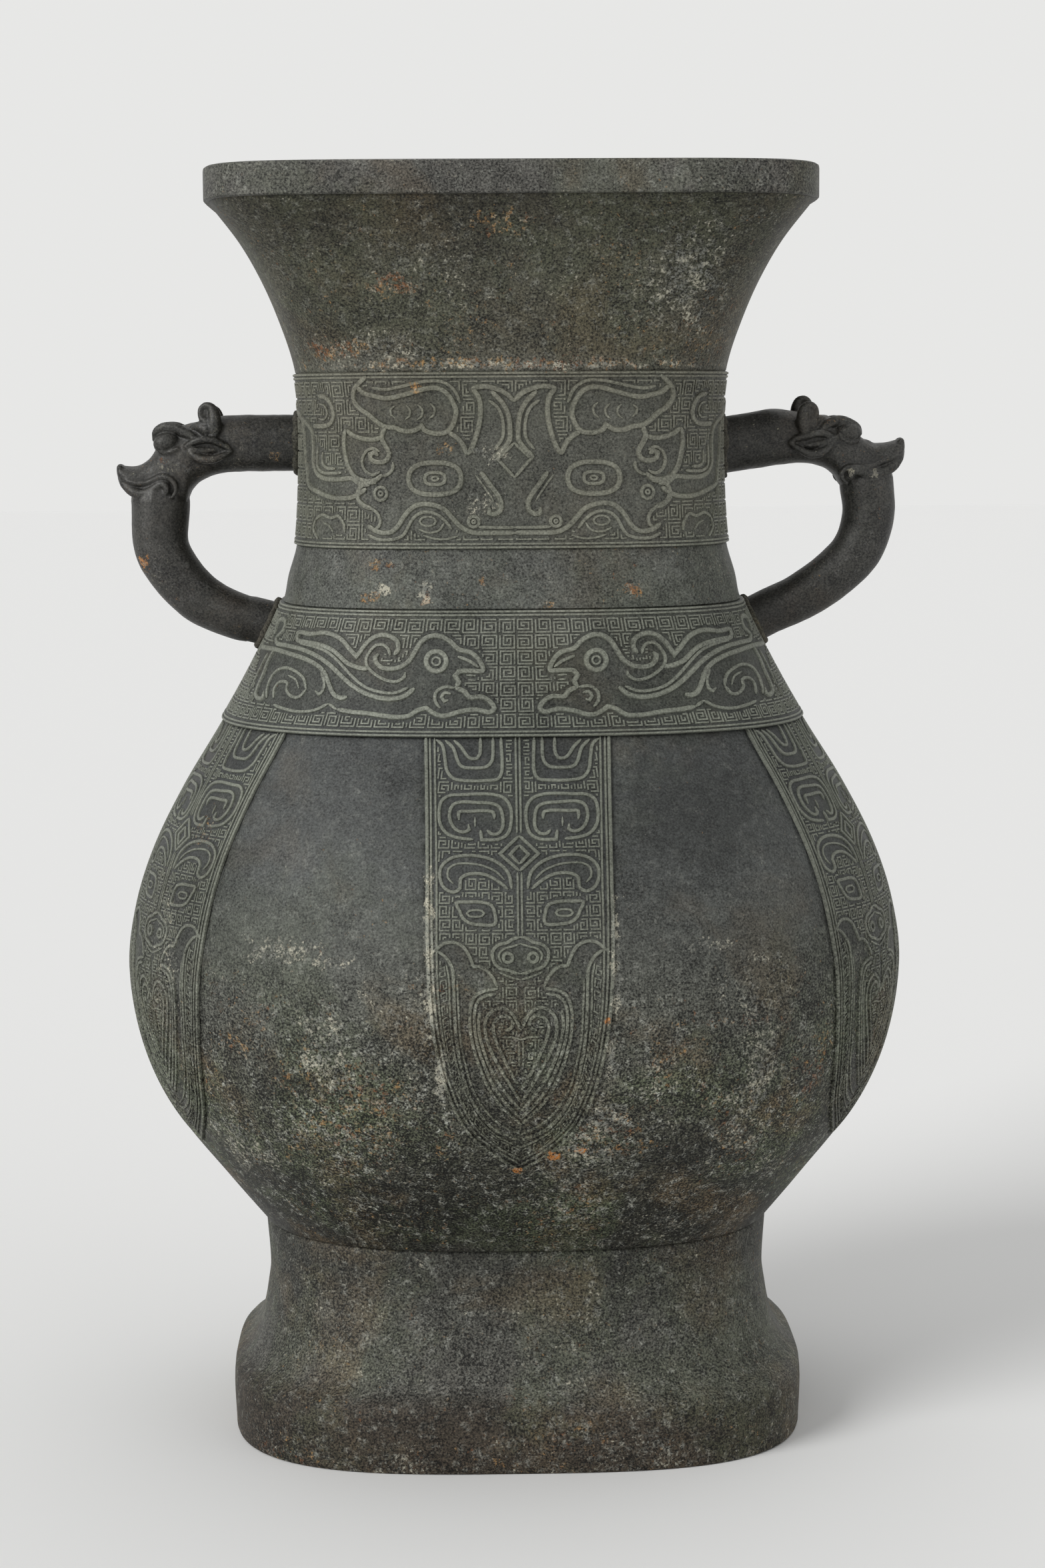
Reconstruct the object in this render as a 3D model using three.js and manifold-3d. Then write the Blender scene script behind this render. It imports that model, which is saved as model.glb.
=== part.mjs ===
// Two-handled bronze vase with dragon-head handles, in millimetres.
// It stands on z = 0 with its mouth up, its broad faces look along -y and +y,
// and its handles stand out along -x and +x.

import * as THREE from 'three';
import { mergeVertices } from 'three/addons/utils/BufferGeometryUtils.js';
import Module from 'manifold-3d';

const wasm = await Module();
wasm.setup();

// Heights of the castings, stacked from the floor up
const footHeight = 82;
const lowerBellyHeight = 99;
const upperBellyHeight = 139;
const neckHeight = 148;
const lipHeight = 12;

// Levels inside the castings
const footLipHeight = 25;
const footWaistHeight = 62;
const shoulderBandHeight = 44.5;
const plainNeckHeight = 22;
const neckWaistRise = 52;
const maskBandHeight = 64;

// Plans at the named levels: half sizes, and squareness, where 2 is an ellipse
const footPlan = { halfWidth: 110.4, halfDepth: 93.5, squareness: 3.2 };
const footWaistPlan = { halfWidth: 96.8, halfDepth: 80.5, squareness: 3 };
const footTopPlan = { halfWidth: 98.2, halfDepth: 81.5, squareness: 2.85 };
const bellyBottomPlan = { halfWidth: 99.2, halfDepth: 84.3, squareness: 2.7 };
const bellyPlan = { halfWidth: 150.5, halfDepth: 127.2, squareness: 2.27 };
const neckSeamPlan = { halfWidth: 88, halfDepth: 80, squareness: 2.8 };
const neckWaistPlan = { halfWidth: 80.4, halfDepth: 74.6, squareness: 3.1 };
const neckTopPlan = { halfWidth: 111.4, halfDepth: 97.5, squareness: 6 };

// Courses of the outline between two named plans: share of the rise, share of the change
const footFlare = [[0.12, 0.34], [0.28, 0.63], [0.5, 0.8], [0.75, 0.92]];
const lowerBellySwell = [[0.19, 0.303], [0.44, 0.68], [0.7, 0.908]];
const shoulderSlope = [[0.17, 0.05], [0.33, 0.172], [0.5, 0.373], [0.665, 0.606], [0.83, 0.815]];
const lowerNeckSlope = [[0.19, 0.3], [0.43, 0.76]];
const mouthFlare = [[0.25, 0.007], [0.4, 0.075], [0.56, 0.23], [0.71, 0.42], [0.855, 0.665]];

// Walls, bands and joints of the castings
const wall = 3.6;
const bandProud = 1.5;
const lipProud = 1.7;
const lipBreadth = 7.7;
const lipInnerBevel = 3;
const footRimBreadth = 5.5;
const tongueHeight = 5;
const tongueThickness = 1.6;
const clearance = 0.3;

// Base plate and the flange that carries it
const basePlateThickness = 4;
const flangeBreadth = 12;
const flangeThickness = 6;

// Handle: an arm with the dragon's head, and a loop from its jaw down to the shoulder
const armRadius = 10.8;
const jawReach = 53.4;
const jawDrop = 22.2;
const loopRootRadius = 8.8;
const loopRootDrop = 9.5;
const spigotRadius = 5;
const spigotHeight = 10;
const rootStraight = 7;
const rootBurial = 10;

// Tenons that go through the wall, and the collars of solder round both roots
const tenonRadius = 4.5;
const tenonLength = 14;
const tenonHeadRadius = 8;
const tenonHeadThickness = 3;
const collarThickness = 2.2;
const collarLength = 4.5;

// The two handles were cast and set by hand, so they differ a little
const handleSettings = {
  left: {
    armRise: 60,
    tilt: 0,
    loopTopRadius: 11.3,
    rootAngle: 14,
    bend: [[0.4, 0.985], [0.78, 0.66], [0.955, 0.24]],
  },
  right: {
    armRise: 58,
    tilt: 8.5,
    loopTopRadius: 10.4,
    rootAngle: 27,
    bend: [[0.25, 1.02], [0.52, 0.9], [0.8, 0.5]],
  },
};

// Dragon's head sections along the arm: reach, top, bottom and half breadth
const headSections = [
  { reach: 24, top: 10.8, bottom: -10.8, halfBreadth: 10.8 },
  { reach: 31, top: 10.4, bottom: -11.2, halfBreadth: 10.8 },
  { reach: 38, top: 8.8, bottom: -14.8, halfBreadth: 11.2 },
  { reach: 44, top: 8.2, bottom: -19.5, halfBreadth: 11.6 },
  { reach: 50, top: 7.4, bottom: -20.6, halfBreadth: 11.4 },
  { reach: 54.5, top: 3.8, bottom: -20.8, halfBreadth: 10.4 },
  { reach: 57.5, top: -4.6, bottom: -20.8, halfBreadth: 9.2 },
  { reach: 62, top: -7.8, bottom: -20, halfBreadth: 8.2 },
  { reach: 67, top: -8.2, bottom: -17, halfBreadth: 7.4 },
  { reach: 70, top: -7.6, bottom: -11.8, halfBreadth: 5.4 },
];
const horn = {
  path: [[37, 6.5, 3], [34, 8.6, 7], [32, 9.2, 11.4], [34, 9, 14.2], [37.4, 8.6, 12.6]],
  rootRadius: 3.2,
  tipRadius: 1.9,
};
const ear = { centre: [31.5, 10.4, -3.4], size: [14.4, 6.4, 7.6] };
const eye = { centre: [50, 9.4, 0.6], size: [9.6, 6, 6.2] };

// Facets
const planSides = 48;
const tubeSides = 20;
const hornSides = 8;
const tenonSides = 16;
const loopSteps = 14;

// Levels worked out from the stacked heights
const bellySeam = footHeight + lowerBellyHeight;
const neckSeam = bellySeam + upperBellyHeight;
const neckTop = neckSeam + neckHeight;
const lipTop = neckTop + lipHeight;
const shoulderBandBottom = neckSeam - shoulderBandHeight;
const neckWaist = neckSeam + neckWaistRise;
const maskBandBottom = neckSeam + plainNeckHeight;
const maskBandTop = maskBandBottom + maskBandHeight;
const loopRootHeight = neckSeam - loopRootDrop;

const planFields = ['halfWidth', 'halfDepth', 'squareness'];

function stationsBetween(lowHeight, lowPlan, highHeight, highPlan, course) {
  return course.map(([rise, change]) => {
    const station = { height: THREE.MathUtils.lerp(lowHeight, highHeight, rise) };
    for (const field of planFields) {
      station[field] = THREE.MathUtils.lerp(lowPlan[field], highPlan[field], change);
    }
    return station;
  });
}

const footStations = [
  { height: 0, ...footPlan },
  { height: footLipHeight, ...footPlan },
  ...stationsBetween(footLipHeight, footPlan, footWaistHeight, footWaistPlan, footFlare),
  { height: footWaistHeight, ...footWaistPlan },
  { height: footHeight, ...footTopPlan },
];

const bodyStations = [
  { height: footHeight, ...bellyBottomPlan },
  ...stationsBetween(footHeight, bellyBottomPlan, bellySeam, bellyPlan, lowerBellySwell),
  { height: bellySeam, ...bellyPlan },
  ...stationsBetween(bellySeam, bellyPlan, neckSeam, neckSeamPlan, shoulderSlope),
  { height: neckSeam, ...neckSeamPlan },
  ...stationsBetween(neckSeam, neckSeamPlan, neckWaist, neckWaistPlan, lowerNeckSlope),
  { height: neckWaist, ...neckWaistPlan },
  ...stationsBetween(neckWaist, neckWaistPlan, neckTop, neckTopPlan, mouthFlare),
  { height: neckTop, ...neckTopPlan },
];

// Plan at any height: a smooth curve through the stations, upright beyond the first and last
function planAt(stations, height) {
  const last = stations.length - 1;
  if (height <= stations[0].height) return stations[0];
  if (height >= stations[last].height) return stations[last];
  const upper = stations.findIndex((station) => station.height > height);
  const lower = upper - 1;
  const before = stations[Math.max(lower - 1, 0)];
  const after = stations[Math.min(upper + 1, last)];
  const from = stations[lower];
  const to = stations[upper];
  const span = to.height - from.height;
  const t = (height - from.height) / span;
  const plan = {};
  for (const field of planFields) {
    const startSlope = (to[field] - before[field]) / (to.height - before.height) * span;
    const endSlope = (after[field] - from[field]) / (after.height - from.height) * span;
    const cubic = 2 * (from[field] - to[field]) + startSlope + endSlope;
    const square = 3 * (to[field] - from[field]) - 2 * startSlope - endSlope;
    plan[field] = ((cubic * t + square) * t + startSlope) * t + from[field];
  }
  return plan;
}

// One level ring of points, wall thicknesses being measured inwards by the inset
function planRing(stations, height, inset) {
  const plan = planAt(stations, height);
  const a = plan.halfWidth - inset;
  const b = plan.halfDepth - inset;
  const n = plan.squareness;
  return Array.from({ length: planSides }, (_, side) => {
    const angle = side * 2 * Math.PI / planSides;
    const x = Math.cos(angle);
    const y = Math.sin(angle);
    const radius = (Math.abs(x / a) ** n + Math.abs(y / b) ** n) ** (-1 / n);
    return new THREE.Vector3(radius * x, radius * y, height);
  });
}

// Skin through rings of points, closed on itself or with flat ends
function loft(rings, closesOnItself) {
  const sides = rings[0].length;
  const positions = rings.flat().flatMap((point) => point.toArray());
  const triangles = [];
  const bands = closesOnItself ? rings.length : rings.length - 1;
  for (let band = 0; band < bands; band++) {
    const low = band * sides;
    const high = ((band + 1) % rings.length) * sides;
    for (let side = 0; side < sides; side++) {
      const next = (side + 1) % sides;
      triangles.push(low + side, low + next, high + next);
      triangles.push(low + side, high + next, high + side);
    }
  }
  if (!closesOnItself) {
    const lastRing = (rings.length - 1) * sides;
    for (let side = 1; side < sides - 1; side++) {
      triangles.push(0, side + 1, side);
      triangles.push(lastRing, lastRing + side, lastRing + side + 1);
    }
  }
  const geometry = new THREE.BufferGeometry();
  geometry.setAttribute('position', new THREE.Float32BufferAttribute(positions, 3));
  geometry.setIndex(triangles);
  geometry.computeVertexNormals();
  return geometry;
}

function evenLevels(from, to, steps) {
  return Array.from({ length: steps + 1 }, (_, step) => THREE.MathUtils.lerp(from, to, step / steps));
}

// Outlines of the castings, as points of height and inset
const tongueInset = wall - tongueThickness;
const recessInset = tongueInset - clearance;

function tongueOn(height) {
  const top = height + tongueHeight;
  return [[height, tongueInset], [top, tongueInset], [top, wall]];
}

function recessIn(height) {
  const top = height + tongueHeight + clearance;
  return [[top, wall], [top, recessInset], [height, recessInset]];
}

function skin(levels, inset) {
  return levels.map((height) => [height, inset]);
}

const shoulderLevels = evenLevels(bellySeam, shoulderBandBottom, 7);
const shoulderBandLevels = evenLevels(shoulderBandBottom, neckSeam, 3);
const plainNeckLevels = evenLevels(neckSeam, maskBandBottom, 2);
const maskBandLevels = evenLevels(maskBandBottom, maskBandTop, 4);
const mouthLevels = evenLevels(maskBandTop, neckTop, 6);
const shoulderInnerLevels = evenLevels(neckSeam, bellySeam + tongueHeight + clearance, 5).slice(0, -1);
const neckInnerLevels = evenLevels(neckTop, neckSeam + tongueHeight + clearance, 6).slice(0, -1);

function footCasting() {
  const flangeInset = wall + flangeBreadth;
  const profile = [
    ...skin([0, footLipHeight / 2, footLipHeight], 0),
    ...skin(evenLevels(footLipHeight, footWaistHeight, 5).slice(1), 0),
    ...skin(evenLevels(footWaistHeight, footHeight, 2).slice(1), 0),
    [footHeight, flangeInset],
    [footHeight - flangeThickness, flangeInset],
    [footHeight - flangeThickness - flangeBreadth / 2, wall],
    ...skin(evenLevels(footWaistHeight, footLipHeight, 3), wall),
    [footLipHeight / 2, footRimBreadth],
    [0, footRimBreadth],
  ];
  return loft(profile.map(([height, inset]) => planRing(footStations, height, inset)), true);
}

function bodyCasting(profile) {
  return loft(profile.map(([height, inset]) => planRing(bodyStations, height, inset)), true);
}

function lowerBellyCasting() {
  return bodyCasting([
    ...skin(evenLevels(footHeight, bellySeam, 8), 0),
    ...tongueOn(bellySeam),
    ...skin(evenLevels(bellySeam, footHeight, 4), wall),
  ]);
}

function shoulderCasting() {
  return bodyCasting([
    ...skin(shoulderLevels, 0),
    ...skin(shoulderBandLevels, -bandProud),
    ...tongueOn(neckSeam),
    ...skin(shoulderInnerLevels, wall),
    ...recessIn(bellySeam),
  ]);
}

function neckCasting() {
  return bodyCasting([
    ...skin(plainNeckLevels, 0),
    ...skin(maskBandLevels, -bandProud),
    ...skin(mouthLevels, 0),
    ...tongueOn(neckTop),
    ...skin(neckInnerLevels, wall),
    ...recessIn(neckSeam),
  ]);
}

function lipCasting() {
  const innerEdge = lipBreadth - lipProud;
  const tongueTop = neckTop + tongueHeight + clearance;
  return bodyCasting([
    ...skin([neckTop, lipTop], -lipProud),
    ...skin([lipTop, tongueTop + lipInnerBevel], innerEdge),
    ...recessIn(neckTop),
  ]);
}

// The plate lies on the foot's flange and closes the belly's lower end from inside
function basePlate() {
  const levels = [footHeight, footHeight + basePlateThickness];
  return loft(levels.map((height) => planRing(bodyStations, height, wall + clearance)), false);
}

// Solids for cutting and joining
function solidOf(geometry) {
  const bare = geometry.clone();
  bare.deleteAttribute('normal');
  bare.deleteAttribute('uv');
  const merged = mergeVertices(bare);
  return new wasm.Manifold(new wasm.Mesh({
    numProp: 3,
    vertProperties: new Float32Array(merged.attributes.position.array),
    triVerts: new Uint32Array(merged.index.array),
  }));
}

function geometryOf(solid) {
  const mesh = solid.getMesh();
  const geometry = new THREE.BufferGeometry();
  geometry.setAttribute('position', new THREE.Float32BufferAttribute(mesh.vertProperties, 3));
  geometry.setIndex(Array.from(mesh.triVerts));
  geometry.computeVertexNormals();
  return geometry;
}

function rod(start, end, radius, sides) {
  const axis = new THREE.Vector3().subVectors(end, start);
  const cylinder = new THREE.CylinderGeometry(radius, radius, axis.length(), sides);
  const turn = new THREE.Quaternion().setFromUnitVectors(
    new THREE.Vector3(0, 1, 0),
    axis.clone().normalize(),
  );
  cylinder.applyQuaternion(turn);
  cylinder.translate(...start.clone().addScaledVector(axis, 0.5).toArray());
  return solidOf(cylinder);
}

function ellipsoid({ centre, size }) {
  const ball = new THREE.SphereGeometry(0.5, 12, 6);
  ball.scale(...size);
  ball.translate(...centre);
  return solidOf(ball);
}

function mirrored(geometry) {
  const turned = geometry.clone();
  turned.scale(-1, 1, 1);
  const index = turned.index.array;
  for (let corner = 0; corner < index.length; corner += 3) {
    [index[corner], index[corner + 1]] = [index[corner + 1], index[corner]];
  }
  turned.computeVertexNormals();
  return turned;
}

// Space that the handles keep out of, and the space inside the wall
function blockThrough(levels, inset) {
  const rising = [...new Set(levels)].sort((low, high) => low - high);
  return solidOf(loft(rising.map((height) => planRing(bodyStations, height, inset)), false));
}

const outerBlock = blockThrough(
  [...shoulderLevels, ...shoulderBandLevels, ...plainNeckLevels, ...maskBandLevels, ...mouthLevels],
  -bandProud - clearance,
);
const innerBlock = blockThrough([...shoulderInnerLevels, ...neckInnerLevels], wall + clearance);

// Round section of a tube, square to its course in the plane of the handle
function tubeRing(centre, course, radius, sides) {
  const across = new THREE.Vector3(-course.z, 0, course.x);
  const aside = new THREE.Vector3().crossVectors(course, across);
  return Array.from({ length: sides }, (_, side) => {
    const angle = side * 2 * Math.PI / sides;
    return centre.clone()
      .addScaledVector(across, radius * Math.cos(angle))
      .addScaledVector(aside, radius * Math.sin(angle));
  });
}

function headRing({ reach, top, bottom, halfBreadth }) {
  return Array.from({ length: tubeSides }, (_, side) => {
    const angle = side * 2 * Math.PI / tubeSides;
    const middle = (top + bottom) / 2;
    const halfHeight = (top - bottom) / 2;
    return new THREE.Vector3(reach, halfBreadth * Math.cos(angle), middle + halfHeight * Math.sin(angle));
  });
}

function hornSolid(sideways) {
  const points = horn.path.map(([x, y, z]) => new THREE.Vector3(x, y, z));
  const curve = new THREE.CatmullRomCurve3(points);
  const steps = 6;
  const rings = Array.from({ length: steps + 1 }, (_, step) => {
    const share = step / steps;
    const radius = THREE.MathUtils.lerp(horn.rootRadius, horn.tipRadius, share);
    const course = curve.getTangentAt(share);
    course.y = 0;
    return tubeRing(curve.getPointAt(share), course.normalize(), radius, hornSides);
  });
  const geometry = loft(rings, false);
  if (sideways > 0) return solidOf(geometry);
  const turned = geometry.clone().scale(1, -1, 1);
  turned.setIndex(Array.from(turned.index.array).reverse());
  return solidOf(turned);
}

function acrossFromEachOther({ centre: [x, y, z], size }) {
  return ellipsoid({ centre: [x, y, z], size }).add(ellipsoid({ centre: [x, -y, z], size }));
}

// All pieces of one handle, worked out on the +x side
function handlePieces({ armRise, tilt, loopTopRadius, rootAngle, bend }) {
  const armHeight = neckSeam + armRise;
  const armRoot = new THREE.Vector3(planAt(bodyStations, armHeight).halfWidth + bandProud, 0, armHeight);
  const turn = -THREE.MathUtils.degToRad(tilt);
  const upright = new THREE.Vector3(0, 1, 0);
  const place = (x, z) => new THREE.Vector3(x, 0, z).applyAxisAngle(upright, turn).add(armRoot);
  const placeSolid = (solid) => solidOf(geometryOf(solid).rotateY(turn).translate(...armRoot.toArray()));
  const armCourse = new THREE.Vector3(1, 0, 0).applyAxisAngle(upright, turn);
  const jawCourse = new THREE.Vector3(0, 0, -1).applyAxisAngle(upright, turn);
  const jawSeat = place(jawReach, -jawDrop);

  const angle = THREE.MathUtils.degToRad(rootAngle);
  const rootCourse = new THREE.Vector3(-Math.cos(angle), 0, -Math.sin(angle));
  const rootHalfWidth = planAt(bodyStations, loopRootHeight).halfWidth + bandProud;
  const loopRoot = new THREE.Vector3(rootHalfWidth, 0, loopRootHeight);

  const tenonAt = (root, outward) => {
    const along = (distance) => root.clone().addScaledVector(outward, distance);
    const innerEnd = along(-wall - tenonHeadThickness - clearance);
    const head = rod(innerEnd, along(0), tenonHeadRadius, tenonSides).intersect(innerBlock);
    return {
      tenon: rod(innerEnd, along(tenonLength), tenonRadius, tenonSides).add(head),
      hole: rod(along(-2 * wall), along(tenonLength + clearance), tenonRadius + clearance, tenonSides),
    };
  };
  const upperTenon = tenonAt(armRoot, armCourse);
  const lowerTenon = tenonAt(loopRoot, rootCourse.clone().negate());

  const collarAt = (root, outward, tubeRadius) => {
    const along = (distance) => root.clone().addScaledVector(outward, distance);
    const outer = rod(along(-rootBurial), along(collarLength), tubeRadius + collarThickness, tubeSides);
    const bore = rod(along(-2 * rootBurial), along(2 * collarLength), tubeRadius + clearance, tubeSides);
    return outer.subtract(bore).subtract(outerBlock);
  };

  const armRings = [headRing({ ...headSections[0], reach: -rootBurial }), ...headSections.map(headRing)];
  const spigotSocket = rod(
    place(jawReach, -jawDrop - 1),
    place(jawReach, -jawDrop + spigotHeight + clearance),
    spigotRadius + clearance,
    tenonSides,
  );
  const head = placeSolid(
    solidOf(loft(armRings, false))
      .add(hornSolid(1))
      .add(hornSolid(-1))
      .add(acrossFromEachOther(ear))
      .add(acrossFromEachOther(eye)),
  )
    .add(rod(place(jawReach, -jawDrop / 2), jawSeat, loopTopRadius, tubeSides))
    .subtract(spigotSocket)
    .subtract(upperTenon.hole)
    .subtract(outerBlock);

  const loopTop = jawSeat.clone().addScaledVector(jawCourse, clearance);
  const straightStart = loopRoot.clone().addScaledVector(rootCourse, -rootStraight);
  const bends = bend.map(([fall, reach]) => new THREE.Vector3(
    THREE.MathUtils.lerp(loopRoot.x, jawSeat.x, reach),
    0,
    THREE.MathUtils.lerp(jawSeat.z, loopRoot.z, fall),
  ));
  const curve = new THREE.CatmullRomCurve3([loopTop, ...bends, straightStart], false, 'centripetal');
  const loopRings = Array.from({ length: loopSteps + 1 }, (_, step) => {
    const share = step / loopSteps;
    const radius = THREE.MathUtils.lerp(loopTopRadius, loopRootRadius, share);
    const course = curve.getTangentAt(share);
    if (step === 0) course.copy(jawCourse);
    if (step === loopSteps) course.copy(rootCourse);
    return tubeRing(curve.getPointAt(share), course, radius, tubeSides);
  });
  const buriedEnd = loopRoot.clone().addScaledVector(rootCourse, rootBurial);
  loopRings.push(tubeRing(buriedEnd, rootCourse, loopRootRadius, tubeSides));
  const spigotFoot = loopTop.clone().addScaledVector(jawCourse, spigotHeight / 2);
  const spigotTop = loopTop.clone().addScaledVector(jawCourse, -spigotHeight);
  const loop = solidOf(loft(loopRings, false))
    .add(rod(spigotFoot, spigotTop, spigotRadius, tenonSides))
    .subtract(lowerTenon.hole)
    .subtract(outerBlock);

  return {
    head,
    loop,
    upperCollar: collarAt(armRoot, armCourse, armRadius),
    lowerCollar: collarAt(loopRoot, rootCourse.clone().negate(), loopRootRadius),
    upperTenon: upperTenon.tenon,
    lowerTenon: lowerTenon.tenon,
    upperHole: upperTenon.hole,
    lowerHole: lowerTenon.hole,
  };
}

// Finishes of the bronze
const finishes = {
  body: { color: 0x4a4d49, roughness: 0.62, metalness: 0.55 },
  lip: { color: 0x55575a, roughness: 0.55, metalness: 0.55 },
  foot: { color: 0x45443f, roughness: 0.66, metalness: 0.5 },
  handle: { color: 0x2d2e2e, roughness: 0.45, metalness: 0.6 },
  solder: { color: 0x4c4130, roughness: 0.85, metalness: 0.25 },
  tenon: { color: 0x5a4c38, roughness: 0.6, metalness: 0.6 },
};

const vase = new THREE.Group();

function addPiece(name, geometry, finish) {
  const mesh = new THREE.Mesh(geometry, new THREE.MeshStandardMaterial(finishes[finish]));
  mesh.name = name;
  vase.add(mesh);
}

const sides = Object.entries(handleSettings).map(([side, settings]) => {
  const pieces = handlePieces(settings);
  const geometries = Object.fromEntries(Object.entries(pieces).map(([piece, solid]) => {
    const geometry = geometryOf(solid);
    return [piece, side === 'left' ? mirrored(geometry) : geometry];
  }));
  return { side, geometries };
});

let neckSolid = solidOf(neckCasting());
let shoulderSolid = solidOf(shoulderCasting());
for (const { geometries } of sides) {
  neckSolid = neckSolid.subtract(solidOf(geometries.upperHole));
  shoulderSolid = shoulderSolid.subtract(solidOf(geometries.lowerHole));
}

addPiece('foot_casting', footCasting(), 'foot');
addPiece('base_plate', basePlate(), 'foot');
addPiece('lower_belly_casting', lowerBellyCasting(), 'body');
addPiece('shoulder_casting', geometryOf(shoulderSolid), 'body');
addPiece('neck_casting', geometryOf(neckSolid), 'body');
addPiece('mouth_lip', lipCasting(), 'lip');
for (const { side, geometries } of sides) {
  addPiece(`${side}_dragon_head`, geometries.head, 'handle');
  addPiece(`${side}_handle_loop`, geometries.loop, 'handle');
  addPiece(`${side}_upper_collar`, geometries.upperCollar, 'solder');
  addPiece(`${side}_lower_collar`, geometries.lowerCollar, 'solder');
  addPiece(`${side}_upper_tenon`, geometries.upperTenon, 'tenon');
  addPiece(`${side}_lower_tenon`, geometries.lowerTenon, 'tenon');
}

export default vase;
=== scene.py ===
"""The two-handled bronze vase, dressed for its photograph.

Sizes are in millimetres, and become metres where a mesh is made. The vase stands on z = 0, and its
broad front looks along -y.
"""

import logging
import math
from dataclasses import dataclass
from enum import Enum
from typing import Callable, Iterable, Sequence

import bpy
import numpy as np
from mathutils import Matrix, Vector, noise

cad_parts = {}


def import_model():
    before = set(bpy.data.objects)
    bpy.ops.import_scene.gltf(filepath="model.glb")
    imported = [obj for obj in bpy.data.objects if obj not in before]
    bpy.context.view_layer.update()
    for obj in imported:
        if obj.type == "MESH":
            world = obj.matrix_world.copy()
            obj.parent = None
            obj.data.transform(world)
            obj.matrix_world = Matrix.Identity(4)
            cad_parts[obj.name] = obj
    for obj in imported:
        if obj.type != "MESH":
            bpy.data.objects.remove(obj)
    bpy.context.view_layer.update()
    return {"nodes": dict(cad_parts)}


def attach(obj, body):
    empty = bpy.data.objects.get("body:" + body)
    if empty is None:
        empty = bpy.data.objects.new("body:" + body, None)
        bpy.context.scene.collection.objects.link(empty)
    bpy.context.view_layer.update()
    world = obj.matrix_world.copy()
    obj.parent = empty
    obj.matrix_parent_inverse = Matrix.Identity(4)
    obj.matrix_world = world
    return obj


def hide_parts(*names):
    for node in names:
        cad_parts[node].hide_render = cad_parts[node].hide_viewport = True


LOG = logging.getLogger("bronze_vase")
MM = 0.001
SAME_PLACE = 1e-6
NEXT_TO_NOTHING = 1e-9

# A column and a row of the photograph
Pixel = tuple[float, float]
# Two plain numbers, such as a height and a lift
Pair = tuple[float, float]
# Red, green, blue and cover, as a shader takes them
Colour = tuple[float, float, float, float]
Item = bpy.types.Object
Socket = bpy.types.NodeSocket
# What a socket can be set to
Value = Socket | float | Sequence[float]


class Side(Enum):
    """The two handles."""

    LEFT = "left"
    RIGHT = "right"


class Weight(Enum):
    """Raised lines of the ornament: breadth and height over the ground, in millimetres."""

    CORD = (2.35, 0.75)
    LINE = (1.6, 0.6)
    FINE = (1.05, 0.48)
    THREAD = (0.82, 0.38)


@dataclass(frozen=True)
class Plan:
    """A level outline: half sizes in millimetres, and squareness, where 2 is an ellipse."""

    half_width: float
    half_depth: float
    squareness: float

    def toward(self, other: "Plan", share: float) -> "Plan":
        """A plan part of the way to another one.

        Args:
            other: The plan at the end of the way.
            share: How far along the way, from 0 to 1.

        Returns:
            The plan there.
        """
        return Plan(
            self.half_width + (other.half_width - self.half_width) * share,
            self.half_depth + (other.half_depth - self.half_depth) * share,
            self.squareness + (other.squareness - self.squareness) * share,
        )


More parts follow.
